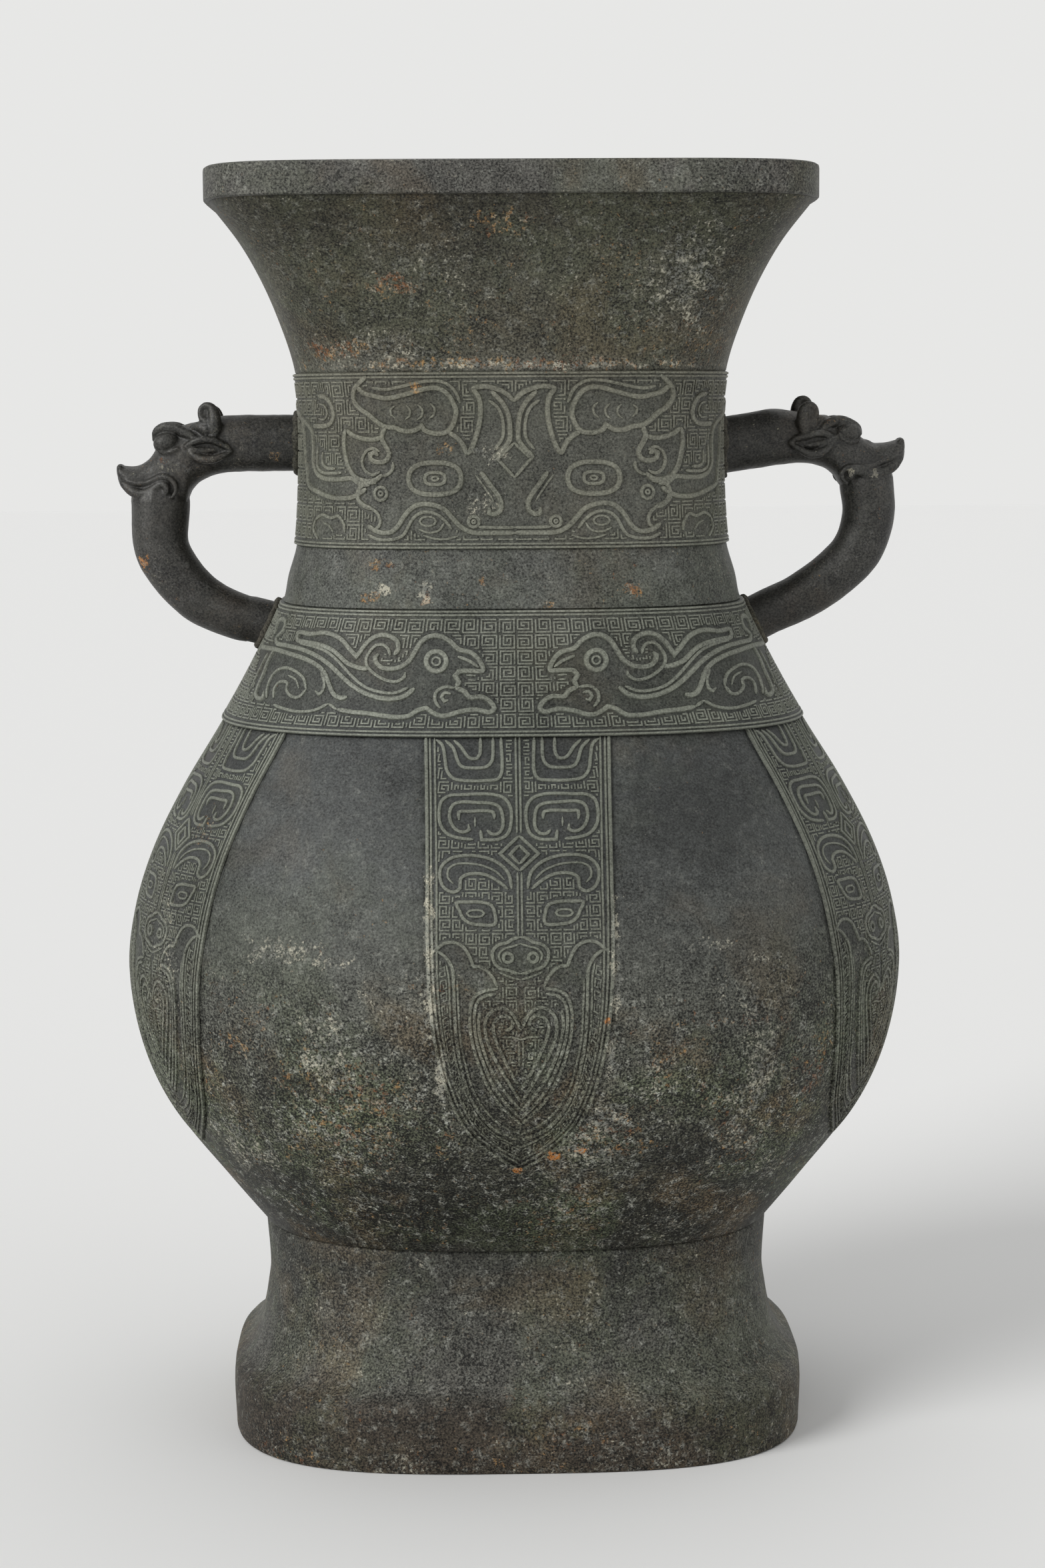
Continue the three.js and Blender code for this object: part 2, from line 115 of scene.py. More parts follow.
@dataclass(frozen=True)
class VesselSizes:
    """Heights, plans and walls of the castings, the same as in the part's source."""

    foot_height: float = 82.0
    lower_belly_height: float = 99.0
    upper_belly_height: float = 139.0
    neck_height: float = 148.0
    lip_height: float = 12.0
    foot_lip_height: float = 25.0
    foot_waist_height: float = 62.0
    shoulder_band_height: float = 44.5
    plain_neck_height: float = 22.0
    neck_waist_rise: float = 52.0
    mask_band_height: float = 64.0
    wall: float = 3.6
    band_proud: float = 1.5
    lip_proud: float = 1.7
    lip_breadth: float = 7.7
    foot_rim_breadth: float = 5.5
    flange_breadth: float = 12.0
    flange_thickness: float = 6.0
    foot_plan: Plan = Plan(110.4, 93.5, 3.2)
    foot_waist_plan: Plan = Plan(96.8, 80.5, 3.0)
    foot_top_plan: Plan = Plan(98.2, 81.5, 2.85)
    belly_bottom_plan: Plan = Plan(99.2, 84.3, 2.7)
    belly_plan: Plan = Plan(150.5, 127.2, 2.27)
    neck_seam_plan: Plan = Plan(88.0, 80.0, 2.8)
    neck_waist_plan: Plan = Plan(80.4, 74.6, 3.1)
    neck_top_plan: Plan = Plan(111.4, 97.5, 6.0)
    foot_flare: tuple[Pair, ...] = ((0.12, 0.34), (0.28, 0.63), (0.5, 0.8), (0.75, 0.92))
    lower_belly_swell: tuple[Pair, ...] = ((0.19, 0.303), (0.44, 0.68), (0.7, 0.908))
    shoulder_slope: tuple[Pair, ...] = (
        (0.17, 0.05), (0.33, 0.172), (0.5, 0.373), (0.665, 0.606), (0.83, 0.815),
    )
    lower_neck_slope: tuple[Pair, ...] = ((0.19, 0.3), (0.43, 0.76))
    mouth_flare: tuple[Pair, ...] = (
        (0.25, 0.007), (0.4, 0.075), (0.56, 0.23), (0.71, 0.42), (0.855, 0.665),
    )

    @property
    def belly_seam(self) -> float:
        """Height of the seam at the widest line."""
        return self.foot_height + self.lower_belly_height

    @property
    def neck_seam(self) -> float:
        """Height of the seam under the neck."""
        return self.belly_seam + self.upper_belly_height

    @property
    def neck_top(self) -> float:
        """Height of the neck's upper end, under the lip."""
        return self.neck_seam + self.neck_height

    @property
    def lip_top(self) -> float:
        """Height of the mouth."""
        return self.neck_top + self.lip_height

    @property
    def shoulder_band_bottom(self) -> float:
        """Lower edge of the band of birds."""
        return self.neck_seam - self.shoulder_band_height

    @property
    def mask_band_bottom(self) -> float:
        """Lower edge of the band with the mask."""
        return self.neck_seam + self.plain_neck_height

    @property
    def mask_band_top(self) -> float:
        """Upper edge of the band with the mask."""
        return self.mask_band_bottom + self.mask_band_height

    def foot_stations(self) -> list[tuple[float, Plan]]:
        """Heights and plans up the foot.

        Returns:
            Heights with their plans, from the lowest.
        """
        lip, waist = self.foot_lip_height, self.foot_waist_height
        return [
            (0.0, self.foot_plan),
            (lip, self.foot_plan),
            *_between(lip, self.foot_plan, waist, self.foot_waist_plan, self.foot_flare),
            (waist, self.foot_waist_plan),
            (self.foot_height, self.foot_top_plan),
        ]

    def body_stations(self) -> list[tuple[float, Plan]]:
        """Heights and plans from the belly's lower end up to the lip.

        Returns:
            Heights with their plans, from the lowest.
        """
        foot, belly, neck = self.foot_height, self.belly_seam, self.neck_seam
        waist = neck + self.neck_waist_rise
        bottom, swell, throat = self.belly_bottom_plan, self.belly_plan, self.neck_seam_plan
        return [
            (foot, bottom),
            *_between(foot, bottom, belly, swell, self.lower_belly_swell),
            (belly, swell),
            *_between(belly, swell, neck, throat, self.shoulder_slope),
            (neck, throat),
            *_between(neck, throat, waist, self.neck_waist_plan, self.lower_neck_slope),
            (waist, self.neck_waist_plan),
            *_between(waist, self.neck_waist_plan, self.neck_top, self.neck_top_plan, self.mouth_flare),
            (self.neck_top, self.neck_top_plan),
        ]


def _between(
    low: float, low_plan: Plan, high: float, high_plan: Plan, course: Sequence[Pair]
) -> list[tuple[float, Plan]]:
    """Stations between two named plans.

    Args:
        low: Height of the lower plan.
        low_plan: The lower plan.
        high: Height of the upper plan.
        high_plan: The upper plan.
        course: Pairs of the share of the rise and the share of the change.

    Returns:
        Heights with their plans.
    """
    return [(low + (high - low) * rise, low_plan.toward(high_plan, change)) for rise, change in course]


class Outline:
    """A smooth run of plans up a casting, which gives points and normals of its face."""

    STEP = 0.25
    RING_STEP = 2.0
    TURNS = 361
    SHARES = 241
    MERIDIAN_SAMPLES = 200

    def __init__(self, stations: Sequence[tuple[float, Plan]]) -> None:
        """Draws the smooth curve through the stations.

        Args:
            stations: Heights with their plans, from the lowest.
        """
        self.low = stations[0][0]
        self.high = stations[-1][0]
        self.levels = np.arange(self.low, self.high + self.STEP / 2, self.STEP)
        self.sizes = np.array([self._plan(stations, z) for z in self.levels]).T
        self.ring_levels = np.arange(self.low, self.high + self.RING_STEP / 2, self.RING_STEP)
        self._measure_rings()

    @staticmethod
    def _plan(stations: Sequence[tuple[float, Plan]], height: float) -> tuple[float, float, float]:
        """Finds the plan at a height by the part's own curve.

        Args:
            stations: Heights with their plans.
            height: The height.

        Returns:
            Half width, half depth and squareness.
        """
        last = len(stations) - 1
        upper = next((i for i, (z, _) in enumerate(stations) if z > height), last)
        lower = max(upper - 1, 0)
        height = min(height, stations[last][0])
        before, after = stations[max(lower - 1, 0)], stations[min(upper + 1, last)]
        start, end = stations[lower], stations[upper]
        span = end[0] - start[0]
        t = (height - start[0]) / span
        found = []
        for name in ("half_width", "half_depth", "squareness"):
            a, b = getattr(start[1], name), getattr(end[1], name)
            m0 = (b - getattr(before[1], name)) / (end[0] - before[0]) * span
            m1 = (getattr(after[1], name) - a) / (after[0] - start[0]) * span
            found.append((((2 * (a - b) + m0 + m1) * t + 3 * (b - a) - 2 * m0 - m1) * t + m0) * t + a)
        return tuple(found)

    def _measure_rings(self) -> None:
        """Measures each level from the middle of the front round to the side."""
        turn = np.linspace(0.0, math.pi / 2, self.TURNS)
        even = np.linspace(0.0, 1.0, self.SHARES)
        quarters, turns = [], []
        for z in self.ring_levels:
            x, y = self.level_place(turn, np.full_like(turn, z), 0.0)
            length = np.concatenate([[0.0], np.cumsum(np.hypot(np.diff(x), np.diff(y)))])
            quarters.append(length[-1])
            turns.append(np.interp(even, length / length[-1], turn))
        self.quarters = np.array(quarters)
        self.turns = np.array(turns)

    def plan(self, z: np.ndarray) -> tuple[np.ndarray, np.ndarray, np.ndarray]:
        """Half width, half depth and squareness at each height."""
        return tuple(np.interp(z, self.levels, row) for row in self.sizes)

    def level_place(
        self, turn: np.ndarray, z: np.ndarray, lift: float | np.ndarray
    ) -> tuple[np.ndarray, np.ndarray]:
        """Finds level places of the face.

        Args:
            turn: Angles from the middle of the front.
            z: Heights.
            lift: How far the plan is grown.

        Returns:
            x, and depth toward the front.
        """
        half_width, half_depth, power = self.plan(z)
        side, front = np.abs(np.sin(turn)), np.abs(np.cos(turn))
        sum_of_powers = (side / (half_width + lift)) ** power + (front / (half_depth + lift)) ** power
        radius = sum_of_powers ** (-1 / power)
        return radius * np.sin(turn), radius * np.cos(turn)

    def quarter(self, z: np.ndarray) -> np.ndarray:
        """Length of a quarter of the ring at each height."""
        return np.interp(z, self.ring_levels, self.quarters)

    def quarter_at(self, height: float) -> float:
        """Length of a quarter of the ring at one height."""
        return float(np.interp(height, self.ring_levels, self.quarters))

    def turn(self, share: np.ndarray, z: np.ndarray) -> np.ndarray:
        """Turns a way round the face into an angle.

        Args:
            share: Way round from the middle of the front, in quarters.
            z: Heights.

        Returns:
            Angles from the middle of the front.
        """
        share = (share + 2) % 4 - 2
        folded = np.abs(share)
        behind = folded > 1
        inner = np.clip(np.where(behind, 2 - folded, folded), 0, 1) * (self.SHARES - 1)
        row = np.clip((z - self.low) / self.RING_STEP, 0, len(self.ring_levels) - 1.001)
        i, j = row.astype(int), np.clip(inner, 0, self.SHARES - 1.001).astype(int)
        u, v = row - i, inner - j
        t = self.turns
        below = t[i, j] * (1 - v) + t[i, j + 1] * v
        above = t[i + 1, j] * (1 - v) + t[i + 1, j + 1] * v
        base = below * (1 - u) + above * u
        return np.where(behind, math.pi - base, base) * np.sign(share)

    def point(self, share: np.ndarray, z: np.ndarray, lift: float | np.ndarray = 0.0) -> np.ndarray:
        """Points of the face.

        Args:
            share: Way round from the middle of the front, in quarters, positive to +x.
            z: Heights.
            lift: How far the plan is grown.

        Returns:
            One row of x, y, z for each point.
        """
        x, depth = self.level_place(self.turn(share, z), z, lift)
        return np.stack([x, -depth, z], axis=-1)

    def normal(self, share: np.ndarray, z: np.ndarray, lift: float = 0.0) -> np.ndarray:
        """Outward normals of the face.

        Args:
            share: Way round from the middle of the front, in quarters.
            z: Heights.
            lift: How far the plan is grown.

        Returns:
            One unit vector for each point.
        """
        ahead, above = 0.004, 0.4
        across = self.point(share + ahead, z, lift) - self.point(share - ahead, z, lift)
        up = self.point(share, z + above, lift) - self.point(share, z - above, lift)
        cross = np.cross(across, up)
        return cross / np.linalg.norm(cross, axis=-1, keepdims=True)

    def meridian(self, low: float, high: float, count: int) -> np.ndarray:
        """Cuts the face at the front into rows of equal length along the slope.

        Args:
            low: Lowest height.
            high: Highest height.
            count: Number of rows.

        Returns:
            The heights between the rows, with both ends.
        """
        z = np.linspace(low, high, self.MERIDIAN_SAMPLES)
        depth = self.plan(z)[1]
        length = np.concatenate([[0.0], np.cumsum(np.hypot(np.diff(z), np.diff(depth)))])
        return np.interp(np.linspace(0, length[-1], count + 1), length, z)


@dataclass(frozen=True)
class PhotoView:
    """The camera of the photograph, as fitted to the seams and the outline."""

    distance: float = 1234.3
    height: float = 393.3
    pitch: float = 6.767
    azimuth: float = -1.1
    roll: float = -0.36
    focal_pixels: float = 4770.0
    frame_width: int = 1568
    frame_height: int = 2352
    axis_column: float = 769.0
    sensor: float = 36.0
    first_depth: float = 100.0
    rounds: int = 8
    widest: float = 0.992

    def flatten(self, outline: Outline, pixels: Sequence[Pixel], middle: float) -> np.ndarray:
        """Finds where pixels of the front lie on the face.

        Args:
            outline: The face.
            pixels: Columns and rows in the photograph.
            middle: The column that the figure is mirrored about.

        Returns:
            Millimetres along the face from the middle of the front, with the height.
        """
        column, row = np.array(pixels, float).T
        pitch = math.radians(self.pitch)
        down = np.tan(pitch + np.arctan((row - self.frame_height / 2) / self.focal_pixels))
        front = np.full_like(column, self.first_depth)
        for _ in range(self.rounds):
            z = self.height - (self.distance - front) * down
            half_width, half_depth, power = outline.plan(z)
            depth = (self.distance - front) * math.cos(pitch) + (self.height - z) * math.sin(pitch)
            x = (column - middle) / self.focal_pixels * depth
            ratio = np.clip(np.abs(x) / half_width, 0, self.widest)
            front = half_depth * (1 - ratio**power) ** (1 / power)
        x = np.sign(x) * ratio * half_width
        turn = np.arctan2(np.abs(x), front)
        along = np.empty_like(z)
        for i, (angle, level) in enumerate(zip(turn, z)):
            ring = round((level - outline.low) / outline.RING_STEP)
            turns = outline.turns[int(np.clip(ring, 0, len(outline.ring_levels) - 1))]
            share = np.interp(angle, turns, np.linspace(0, 1, outline.SHARES))
            along[i] = share * outline.quarter(level) * np.sign(x[i])
        return np.stack([along, z], axis=-1)

    def add_camera(self) -> Item:
        """Sets the camera where the photograph was taken from.

        Returns:
            The camera.
        """
        data = bpy.data.cameras.new("photo_camera")
        data.sensor_fit = "VERTICAL"
        data.sensor_height = self.sensor
        data.lens = self.focal_pixels / self.frame_height * self.sensor
        data.clip_start = 0.05
        camera = bpy.data.objects.new("photo_camera", data)
        bpy.context.scene.collection.objects.link(camera)
        around = math.radians(self.azimuth)
        place = Vector((math.sin(around), -math.cos(around), 0)) * self.distance
        place.z = self.height
        aside = math.atan((self.frame_width / 2 - self.axis_column) / self.focal_pixels)
        turn = Matrix.Rotation(around - aside, 4, "Z")
        tilt = Matrix.Rotation(math.radians(90 - self.pitch), 4, "X")
        roll = Matrix.Rotation(math.radians(self.roll), 4, "Z")
        camera.matrix_world = Matrix.Translation(place * MM) @ turn @ tilt @ roll
        bpy.context.scene.camera = camera
        return camera


def smooth_path(points: np.ndarray, spacing: float, closed: bool = False) -> np.ndarray:
    """A smooth curve through points, cut at about even spacing. A point given twice is a sharp corner.

    Args:
        points: The points, in rows.
        spacing: Length of each step.
        closed: Whether the last point leads back to the first.

    Returns:
        Points along the curve.
    """
    points = np.asarray(points, float)
    gaps = np.linalg.norm(np.diff(points, axis=0), axis=1)
    corners = [i + 1 for i in np.flatnonzero(gaps < SAME_PLACE)]
    if closed:
        return _smooth_run(np.concatenate([points[-1:], points, points[:2]]), spacing)[:-1]
    runs = []
    for first, last in zip([0, *corners], [*corners, len(points)]):
        run = points[first:last]
        if len(run) < 2:
            continue
        ends = [2 * run[:1] - run[1:2], run, 2 * run[-1:] - run[-2:-1]]
        runs.append(_smooth_run(np.concatenate(ends), spacing))
    joined = [run[:-1] for run in runs[:-1]]
    return np.concatenate([*joined, runs[-1]])


def _smooth_run(points: np.ndarray, spacing: float) -> np.ndarray:
    """The smooth curve through all but the first and the last of the points, which only steer it.

    Args:
        points: The points, in rows.
        spacing: Length of each step.

    Returns:
        Points along the curve, with both of its ends.
    """
    pieces = []
    for p0, p1, p2, p3 in zip(points, points[1:], points[2:], points[3:]):
        spans = ((p0, p1), (p1, p2), (p2, p3))
        d0, d1, d2 = (max(np.linalg.norm(b - a), SAME_PLACE) ** 0.5 for a, b in spans)
        m1 = ((p1 - p0) / d0 - (p2 - p0) / (d0 + d1) + (p2 - p1) / d1) * d1
        m2 = ((p2 - p1) / d1 - (p3 - p1) / (d1 + d2) + (p3 - p2) / d2) * d1
        steps = max(1, int(round(d1**2 / spacing)))
        t = (np.arange(steps) / steps)[:, None]
        cube, square = t**3, t**2
        pieces.append(
            p1 * (2 * cube - 3 * square + 1) + p2 * (3 * square - 2 * cube)
            + m1 * (cube - 2 * square + t) + m2 * (cube - square)
        )
    pieces.append(points[-2:-1])
    return np.concatenate(pieces)


def _along(path: np.ndarray, share: np.ndarray) -> np.ndarray:
    """Points at shares of a path's length."""
    length = np.concatenate([[0.0], np.cumsum(np.linalg.norm(np.diff(path, axis=0), axis=1))])
    return np.column_stack([np.interp(share * length[-1], length, column) for column in path.T])


def _unit(rows: np.ndarray) -> np.ndarray:
    """Rows of x, y, z brought to a length of 1."""
    return rows / np.maximum(np.linalg.norm(rows, axis=1, keepdims=True), NEXT_TO_NOTHING)


def deselect_all() -> None:
    """Leaves nothing selected, as an operator acts on all that is selected."""
    for item in bpy.context.selected_objects:
        item.select_set(False)


def make_active(item: Item) -> None:
    """Selects one object alone and makes it active.

    Args:
        item: The object.
    """
    deselect_all()
    item.select_set(True)
    bpy.context.view_layer.objects.active = item


def settle(item: Item) -> None:
    """Puts the object's place, turn and size into its mesh."""
    make_active(item)
    bpy.ops.object.transform_apply(location=True, rotation=True, scale=True)


def mesh_piece(name: str, points: np.ndarray, faces: Sequence[Sequence[int]]) -> Item:
    """An object from points in millimetres and faces.

    Args:
        name: Name of the piece.
        points: Rows of x, y, z in millimetres.
        faces: Corners of each face.

    Returns:
        The object, in metres, at the origin.
    """
    mesh = bpy.data.meshes.new(name)
    mesh.from_pydata((np.asarray(points) * MM).tolist(), [], [list(f) for f in faces])
    mesh.validate()
    item = bpy.data.objects.new(name, mesh)
    bpy.context.scene.collection.objects.link(item)
    return item


def rolled_grid(
    name: str, columns: int, rows: int, place: Callable[[np.ndarray, np.ndarray], np.ndarray]
) -> Item:
    """Rolls a primitive grid up into a surface, and welds it where its edges meet.

    Args:
        name: Name of the piece.
        columns: Steps round the piece.
        rows: Steps along it.
        place: Gives x, y, z in millimetres for column and row numbers.

    Returns:
        The piece, in metres, at the origin.
    """
    deselect_all()
    bpy.ops.mesh.primitive_grid_add(x_subdivisions=columns, y_subdivisions=rows, size=2.0)
    item = bpy.context.object
    flat, _ = _read_points(item.data)
    column = np.rint((flat[:, 0] + 1) / 2 * columns).astype(int)
    row = np.rint((flat[:, 1] + 1) / 2 * rows).astype(int)
    item.data.vertices.foreach_set("co", (place(column, row) * MM).ravel())
    item.name = name
    item.data.name = name
    return item


def _read_points(mesh: bpy.types.Mesh) -> tuple[np.ndarray, np.ndarray]:
    """Reads a mesh in one go.

    Args:
        mesh: The mesh.

    Returns:
        Rows of places and rows of normals.
    """
    found = []
    for name in ("co", "normal"):
        flat = np.empty(len(mesh.vertices) * 3)
        mesh.vertices.foreach_get(name, flat)
        found.append(flat.reshape(-1, 3))
    return found[0], found[1]


def weld(item: Item) -> None:
    """Merges the points that coincide and turns all normals outward.

    Args:
        item: The piece, in metres.
    """
    make_active(item)
    bpy.ops.object.mode_set(mode="EDIT")
    bpy.ops.mesh.select_all(action="SELECT")
    bpy.ops.mesh.remove_doubles(threshold=SAME_PLACE)
    bpy.ops.mesh.normals_make_consistent(inside=False)
    bpy.ops.object.mode_set(mode="OBJECT")


def join(name: str, items: Sequence[Item]) -> Item:
    """Joins objects into one.

    Args:
        name: Name of the whole.
        items: The objects, two or more.

    Returns:
        The whole.
    """
    make_active(items[0])
    for item in items:
        item.select_set(True)
    bpy.ops.object.join()
    whole = bpy.context.view_layer.objects.active
    whole.name = name
    whole.data.name = name
    return whole


def soften(item: Item, degrees: float) -> None:
    """Shades the piece smooth but for its crisp edges."""
    make_active(item)
    bpy.ops.object.shade_smooth_by_angle(angle=math.radians(degrees))


def apply_modifier(item: Item, kind: str, **settings: object) -> None:
    """Adds one modifier and applies it at once.

    Args:
        item: The piece.
        kind: Blender's name for the modifier's type.
        settings: Its settings by name.
    """
    make_active(item)
    modifier = item.modifiers.new(kind.lower(), kind)
    for key, value in settings.items():
        setattr(modifier, key, value)
    bpy.ops.object.modifier_apply(modifier=modifier.name)


def carry(
    item: Item, material: bpy.types.Material, replaced: Iterable[str] = ()
) -> Item:
    """Dresses a finished piece and hands it to the frame.

    Args:
        item: The finished piece.
        material: Its material.
        replaced: CAD nodes that it stands for.

    Returns:
        The same piece.
    """
    item.data.materials.clear()
    item.data.materials.append(material)
    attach(item, "root")
    if replaced:
        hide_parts(*replaced)
    LOG.info("%s: %d faces", item.name, len(item.data.polygons))
    return item


RING_POINTS = 16


@dataclass(frozen=True)
class Stroke:
    """One raised line of a figure, in pixels of the photograph.

    Attributes:
        pixels: The points it runs through. A point given twice is a corner.
        weight: Its breadth and height.
        closed: Whether it runs back to its start.
    """

    pixels: tuple[Pixel, ...]
    weight: Weight = Weight.LINE
    closed: bool = False


def _ring(
    middle: Pixel, half_width: float, half_height: float, weight: Weight = Weight.LINE, power: float = 2.0
) -> Stroke:
    """A closed oval.

    Args:
        middle: Its middle.
        half_width: Half its width in pixels.
        half_height: Half its height in pixels.
        weight: Its breadth and height as a raised line.
        power: 2 for a true oval, more for a squarer one.

    Returns:
        The stroke.
    """
    found = []
    for k in range(RING_POINTS):
        angle = 2 * math.pi * k / RING_POINTS
        c, s = math.cos(angle), math.sin(angle)
        radius = (abs(c / half_width) ** power + abs(s / half_height) ** power) ** (-1 / power)
        found.append((middle[0] + radius * c, middle[1] + radius * s))
    return Stroke(tuple(found), weight, True)


@dataclass(frozen=True)
class Figure:
    """Half of a mirrored figure.

    Attributes:
        middle: The column it is mirrored about.
        strokes: Its raised lines.
        smooth: Outlines inside which the ground pattern is left out.
    """

    middle: float
    strokes: tuple[Stroke, ...]
    smooth: tuple[tuple[Pixel, ...], ...]


def _cord(*pixels: Pixel) -> Stroke:
    """A bold line."""
    return Stroke(pixels, Weight.CORD)


def _line(*pixels: Pixel) -> Stroke:
    """A middling line."""
    return Stroke(pixels, Weight.LINE)


def _fine(*pixels: Pixel) -> Stroke:
    """A fine line."""
    return Stroke(pixels, Weight.FINE)


BROW_CLOUD = (
    (986, 563), (994, 570), (1004, 583), (1005, 597), (996, 611), (983, 620), (970, 632), (958, 639),
    (946, 640), (933, 645), (917, 645), (905, 638), (905, 638), (901, 644), (888, 649), (874, 649),
    (865, 645), (857, 632), (854, 616), (860, 600), (870, 587), (883, 581), (899, 582), (917, 587),
    (935, 592), (956, 596), (977, 592), (990, 588), (1000, 578),
)
SIDE_HORN = (
    (1101, 599), (1089, 609), (1079, 624), (1076, 647), (1075, 673), (1072, 703), (1070, 724), (1056, 736),
    (1033, 745), (1007, 744), (993, 736), (987, 731),
)
SIDE_HORN_INNER = (
    (1085, 614), (1066, 642), (1063, 662), (1063, 693), (1058, 708), (1046, 716), (1025, 717), (1007, 716),
    (997, 724), (982, 726),
)
FOREHEAD_TOP = ((768, 602), (772, 597), (781, 589), (797, 582), (812, 579), (831, 582))
FOREHEAD_SIDE = ((831, 582), (822, 592), (818, 608), (819, 629), (824, 652), (831, 671), (838, 682))
JAW_LINE = (
    (768, 799), (800, 799), (831, 798), (846, 791), (859, 778), (870, 765), (883, 758), (899, 755),
    (914, 757), (925, 765), (933, 775), (941, 788), (950, 796), (961, 798), (975, 794), (985, 786),
)
MASK = Figure(
    middle=768.0,
    strokes=(
        _cord(*FOREHEAD_TOP),
        _cord(*FOREHEAD_SIDE),
        _cord((802, 586), (786, 603), (777, 621), (774, 645), (775, 660), (784, 673), (797, 686)),
        _line((806, 600), (793, 610), (787, 622), (784, 639), (786, 658), (798, 674)),
        _line((768, 664), (768, 664), (793, 688), (793, 688), (768, 716), (768, 716)),
        _cord((818, 707), (805, 726), (794, 741), (788, 754), (790, 766), (798, 771), (806, 769),
              (806, 761)),
        _fine((826, 712), (813, 730), (803, 745), (799, 752)),
        _cord(*BROW_CLOUD),
        _line((848, 604), (857, 584), (874, 572), (899, 571), (920, 575), (941, 580), (962, 583),
              (979, 580)),
        _fine((893, 604), (886, 611), (887, 621), (894, 627)),
        _fine((911, 606), (904, 613), (905, 623), (912, 629)),
        _fine((928, 607), (922, 614), (923, 623), (929, 628)),
        _fine((945, 608), (951, 613), (950, 621), (944, 626)),
        _cord((867, 647), (854, 655), (845, 665), (838, 682)),
        _cord((958, 639), (962, 647), (964, 655), (958, 668), (953, 678), (957, 689), (969, 692),
              (980, 687), (981, 680), (975, 677), (969, 682)),
        _cord((964, 655), (977, 658), (993, 656), (1006, 651), (1015, 643)),
        _cord((1017, 642), (1019, 663), (1016, 686), (1011, 702), (1001, 715), (985, 720), (972, 718),
              (964, 710)),
        _line((967, 676), (977, 671), (988, 677), (993, 691), (988, 705), (977, 711), (967, 706)),
        _line((948, 692), (948, 702), (955, 710), (964, 713)),
        _cord((972, 722), (988, 723), (998, 733), (999, 747), (990, 757), (977, 762)),
        _ring((966, 739), 9, 10),
        _ring((966, 739), 3, 3, Weight.FINE),
        _ring((886, 717), 39, 24, Weight.CORD, 2.5),
        _ring((886, 717), 15, 9, Weight.LINE, 3.0),
        _ring((886, 717), 5, 3, Weight.FINE),
        _cord(*JAW_LINE),
        _line((768, 791), (800, 791), (822, 790)),
        _line((862, 793), (869, 783), (883, 771), (897, 767), (909, 769), (920, 778), (926, 789),
              (934, 802), (951, 808), (972, 807), (985, 800)),
        _ring((897, 781), 12, 7, Weight.FINE),
        _fine((873, 784), (881, 795), (897, 798), (912, 792)),
        _fine((852, 803), (870, 808), (888, 807), (904, 802)),
        _ring((829, 782), 8, 8),
        _ring((829, 782), 2.5, 2.5, Weight.FINE),
        _line((982, 760), (972, 767), (967, 778), (969, 788), (977, 793)),
        _cord(*SIDE_HORN),
        _cord(*SIDE_HORN_INNER),
        _line((1057, 668), (1057, 698), (1051, 706), (1033, 708), (1023, 707)),
        _line((1050, 676), (1050, 693), (1044, 700), (1032, 701)),
        _cord((1063, 637), (1046, 637), (1038, 633), (1034, 622), (1038, 604), (1046, 594), (1056, 592)),
        _fine((1056, 626), (1047, 627), (1043, 618), (1047, 607), (1055, 604)),
        _line((1061, 777), (1051, 770), (1038, 775), (1028, 772), (1020, 785), (1019, 797)),
        _line((1061, 777), (1064, 790), (1058, 806)),
        _fine((1050, 782), (1042, 786), (1036, 796)),
    ),
    smooth=(
        (
            (768, 600), *FOREHEAD_TOP[2:], *FOREHEAD_SIDE[1:],
            (845, 665), (854, 655), (867, 647), (888, 649), (901, 644), (905, 638), (917, 645), (933, 645),
            (946, 640), (958, 639), (964, 655), (993, 656), (1015, 643), (1019, 663), (1016, 686),
            (1011, 702), (1001, 715), (988, 723), (998, 733), (999, 747), (990, 757), (982, 760),
            (972, 767), (967, 778), (969, 788), (977, 793), *JAW_LINE[-3:1:-1], (768, 799),
        ),
        BROW_CLOUD,
        SIDE_HORN + SIDE_HORN_INNER[::-1],
        ((862, 793), (883, 769), (909, 769), (926, 789), (913, 800), (888, 808), (862, 803)),
        ((1061, 777), (1051, 770), (1038, 775), (1028, 772), (1020, 785), (1019, 797), (1036, 800),
         (1058, 806)),
    ),
)

BIRD_BODY = (
    (823, 1007), (829, 992), (841, 979), (861, 973), (873, 961), (889, 953), (904, 954), (916, 962),
    (925, 976), (934, 990), (947, 999), (962, 1002), (976, 999), (983, 991), (984, 984), (979, 979),
)
BIRD_CREST = (
    (956, 981), (950, 973), (951, 961), (962, 953), (974, 951), (986, 955), (997, 964), (1005, 975),
    (1011, 983), (1011, 983), (1020, 973), (1032, 958), (1045, 950), (1060, 947), (1078, 949), (1095, 947),
    (1097, 957), (1084, 961), (1069, 964), (1054, 969), (1045, 974), (1035, 983), (1026, 992), (1014, 998),
    (1002, 1001), (994, 1002),
)
BIRD_UNDER = (
    (866, 1031), (852, 1037), (846, 1045), (827, 1045), (814, 1053), (809, 1062), (815, 1068), (836, 1064),
    (861, 1067), (882, 1073), (895, 1071), (910, 1061), (910, 1061), (922, 1064), (937, 1073), (959, 1074),
    (980, 1071), (999, 1068), (1020, 1066), (1041, 1062),
)
BIRD_WING = (
    (927, 1031), (940, 1042), (959, 1047), (980, 1045), (1002, 1037), (1020, 1025), (1036, 1010),
    (1051, 995), (1069, 982), (1090, 972), (1112, 966), (1126, 962), (1127, 955), (1117, 943),
    (1113, 932), (1117, 926), (1124, 932), (1129, 949),
)
BIRD_TAIL = (
    (1147, 967), (1127, 972), (1106, 979), (1084, 987), (1066, 998), (1057, 1010), (1052, 1025),
    (1045, 1040), (1035, 1045), (1026, 1043),
)
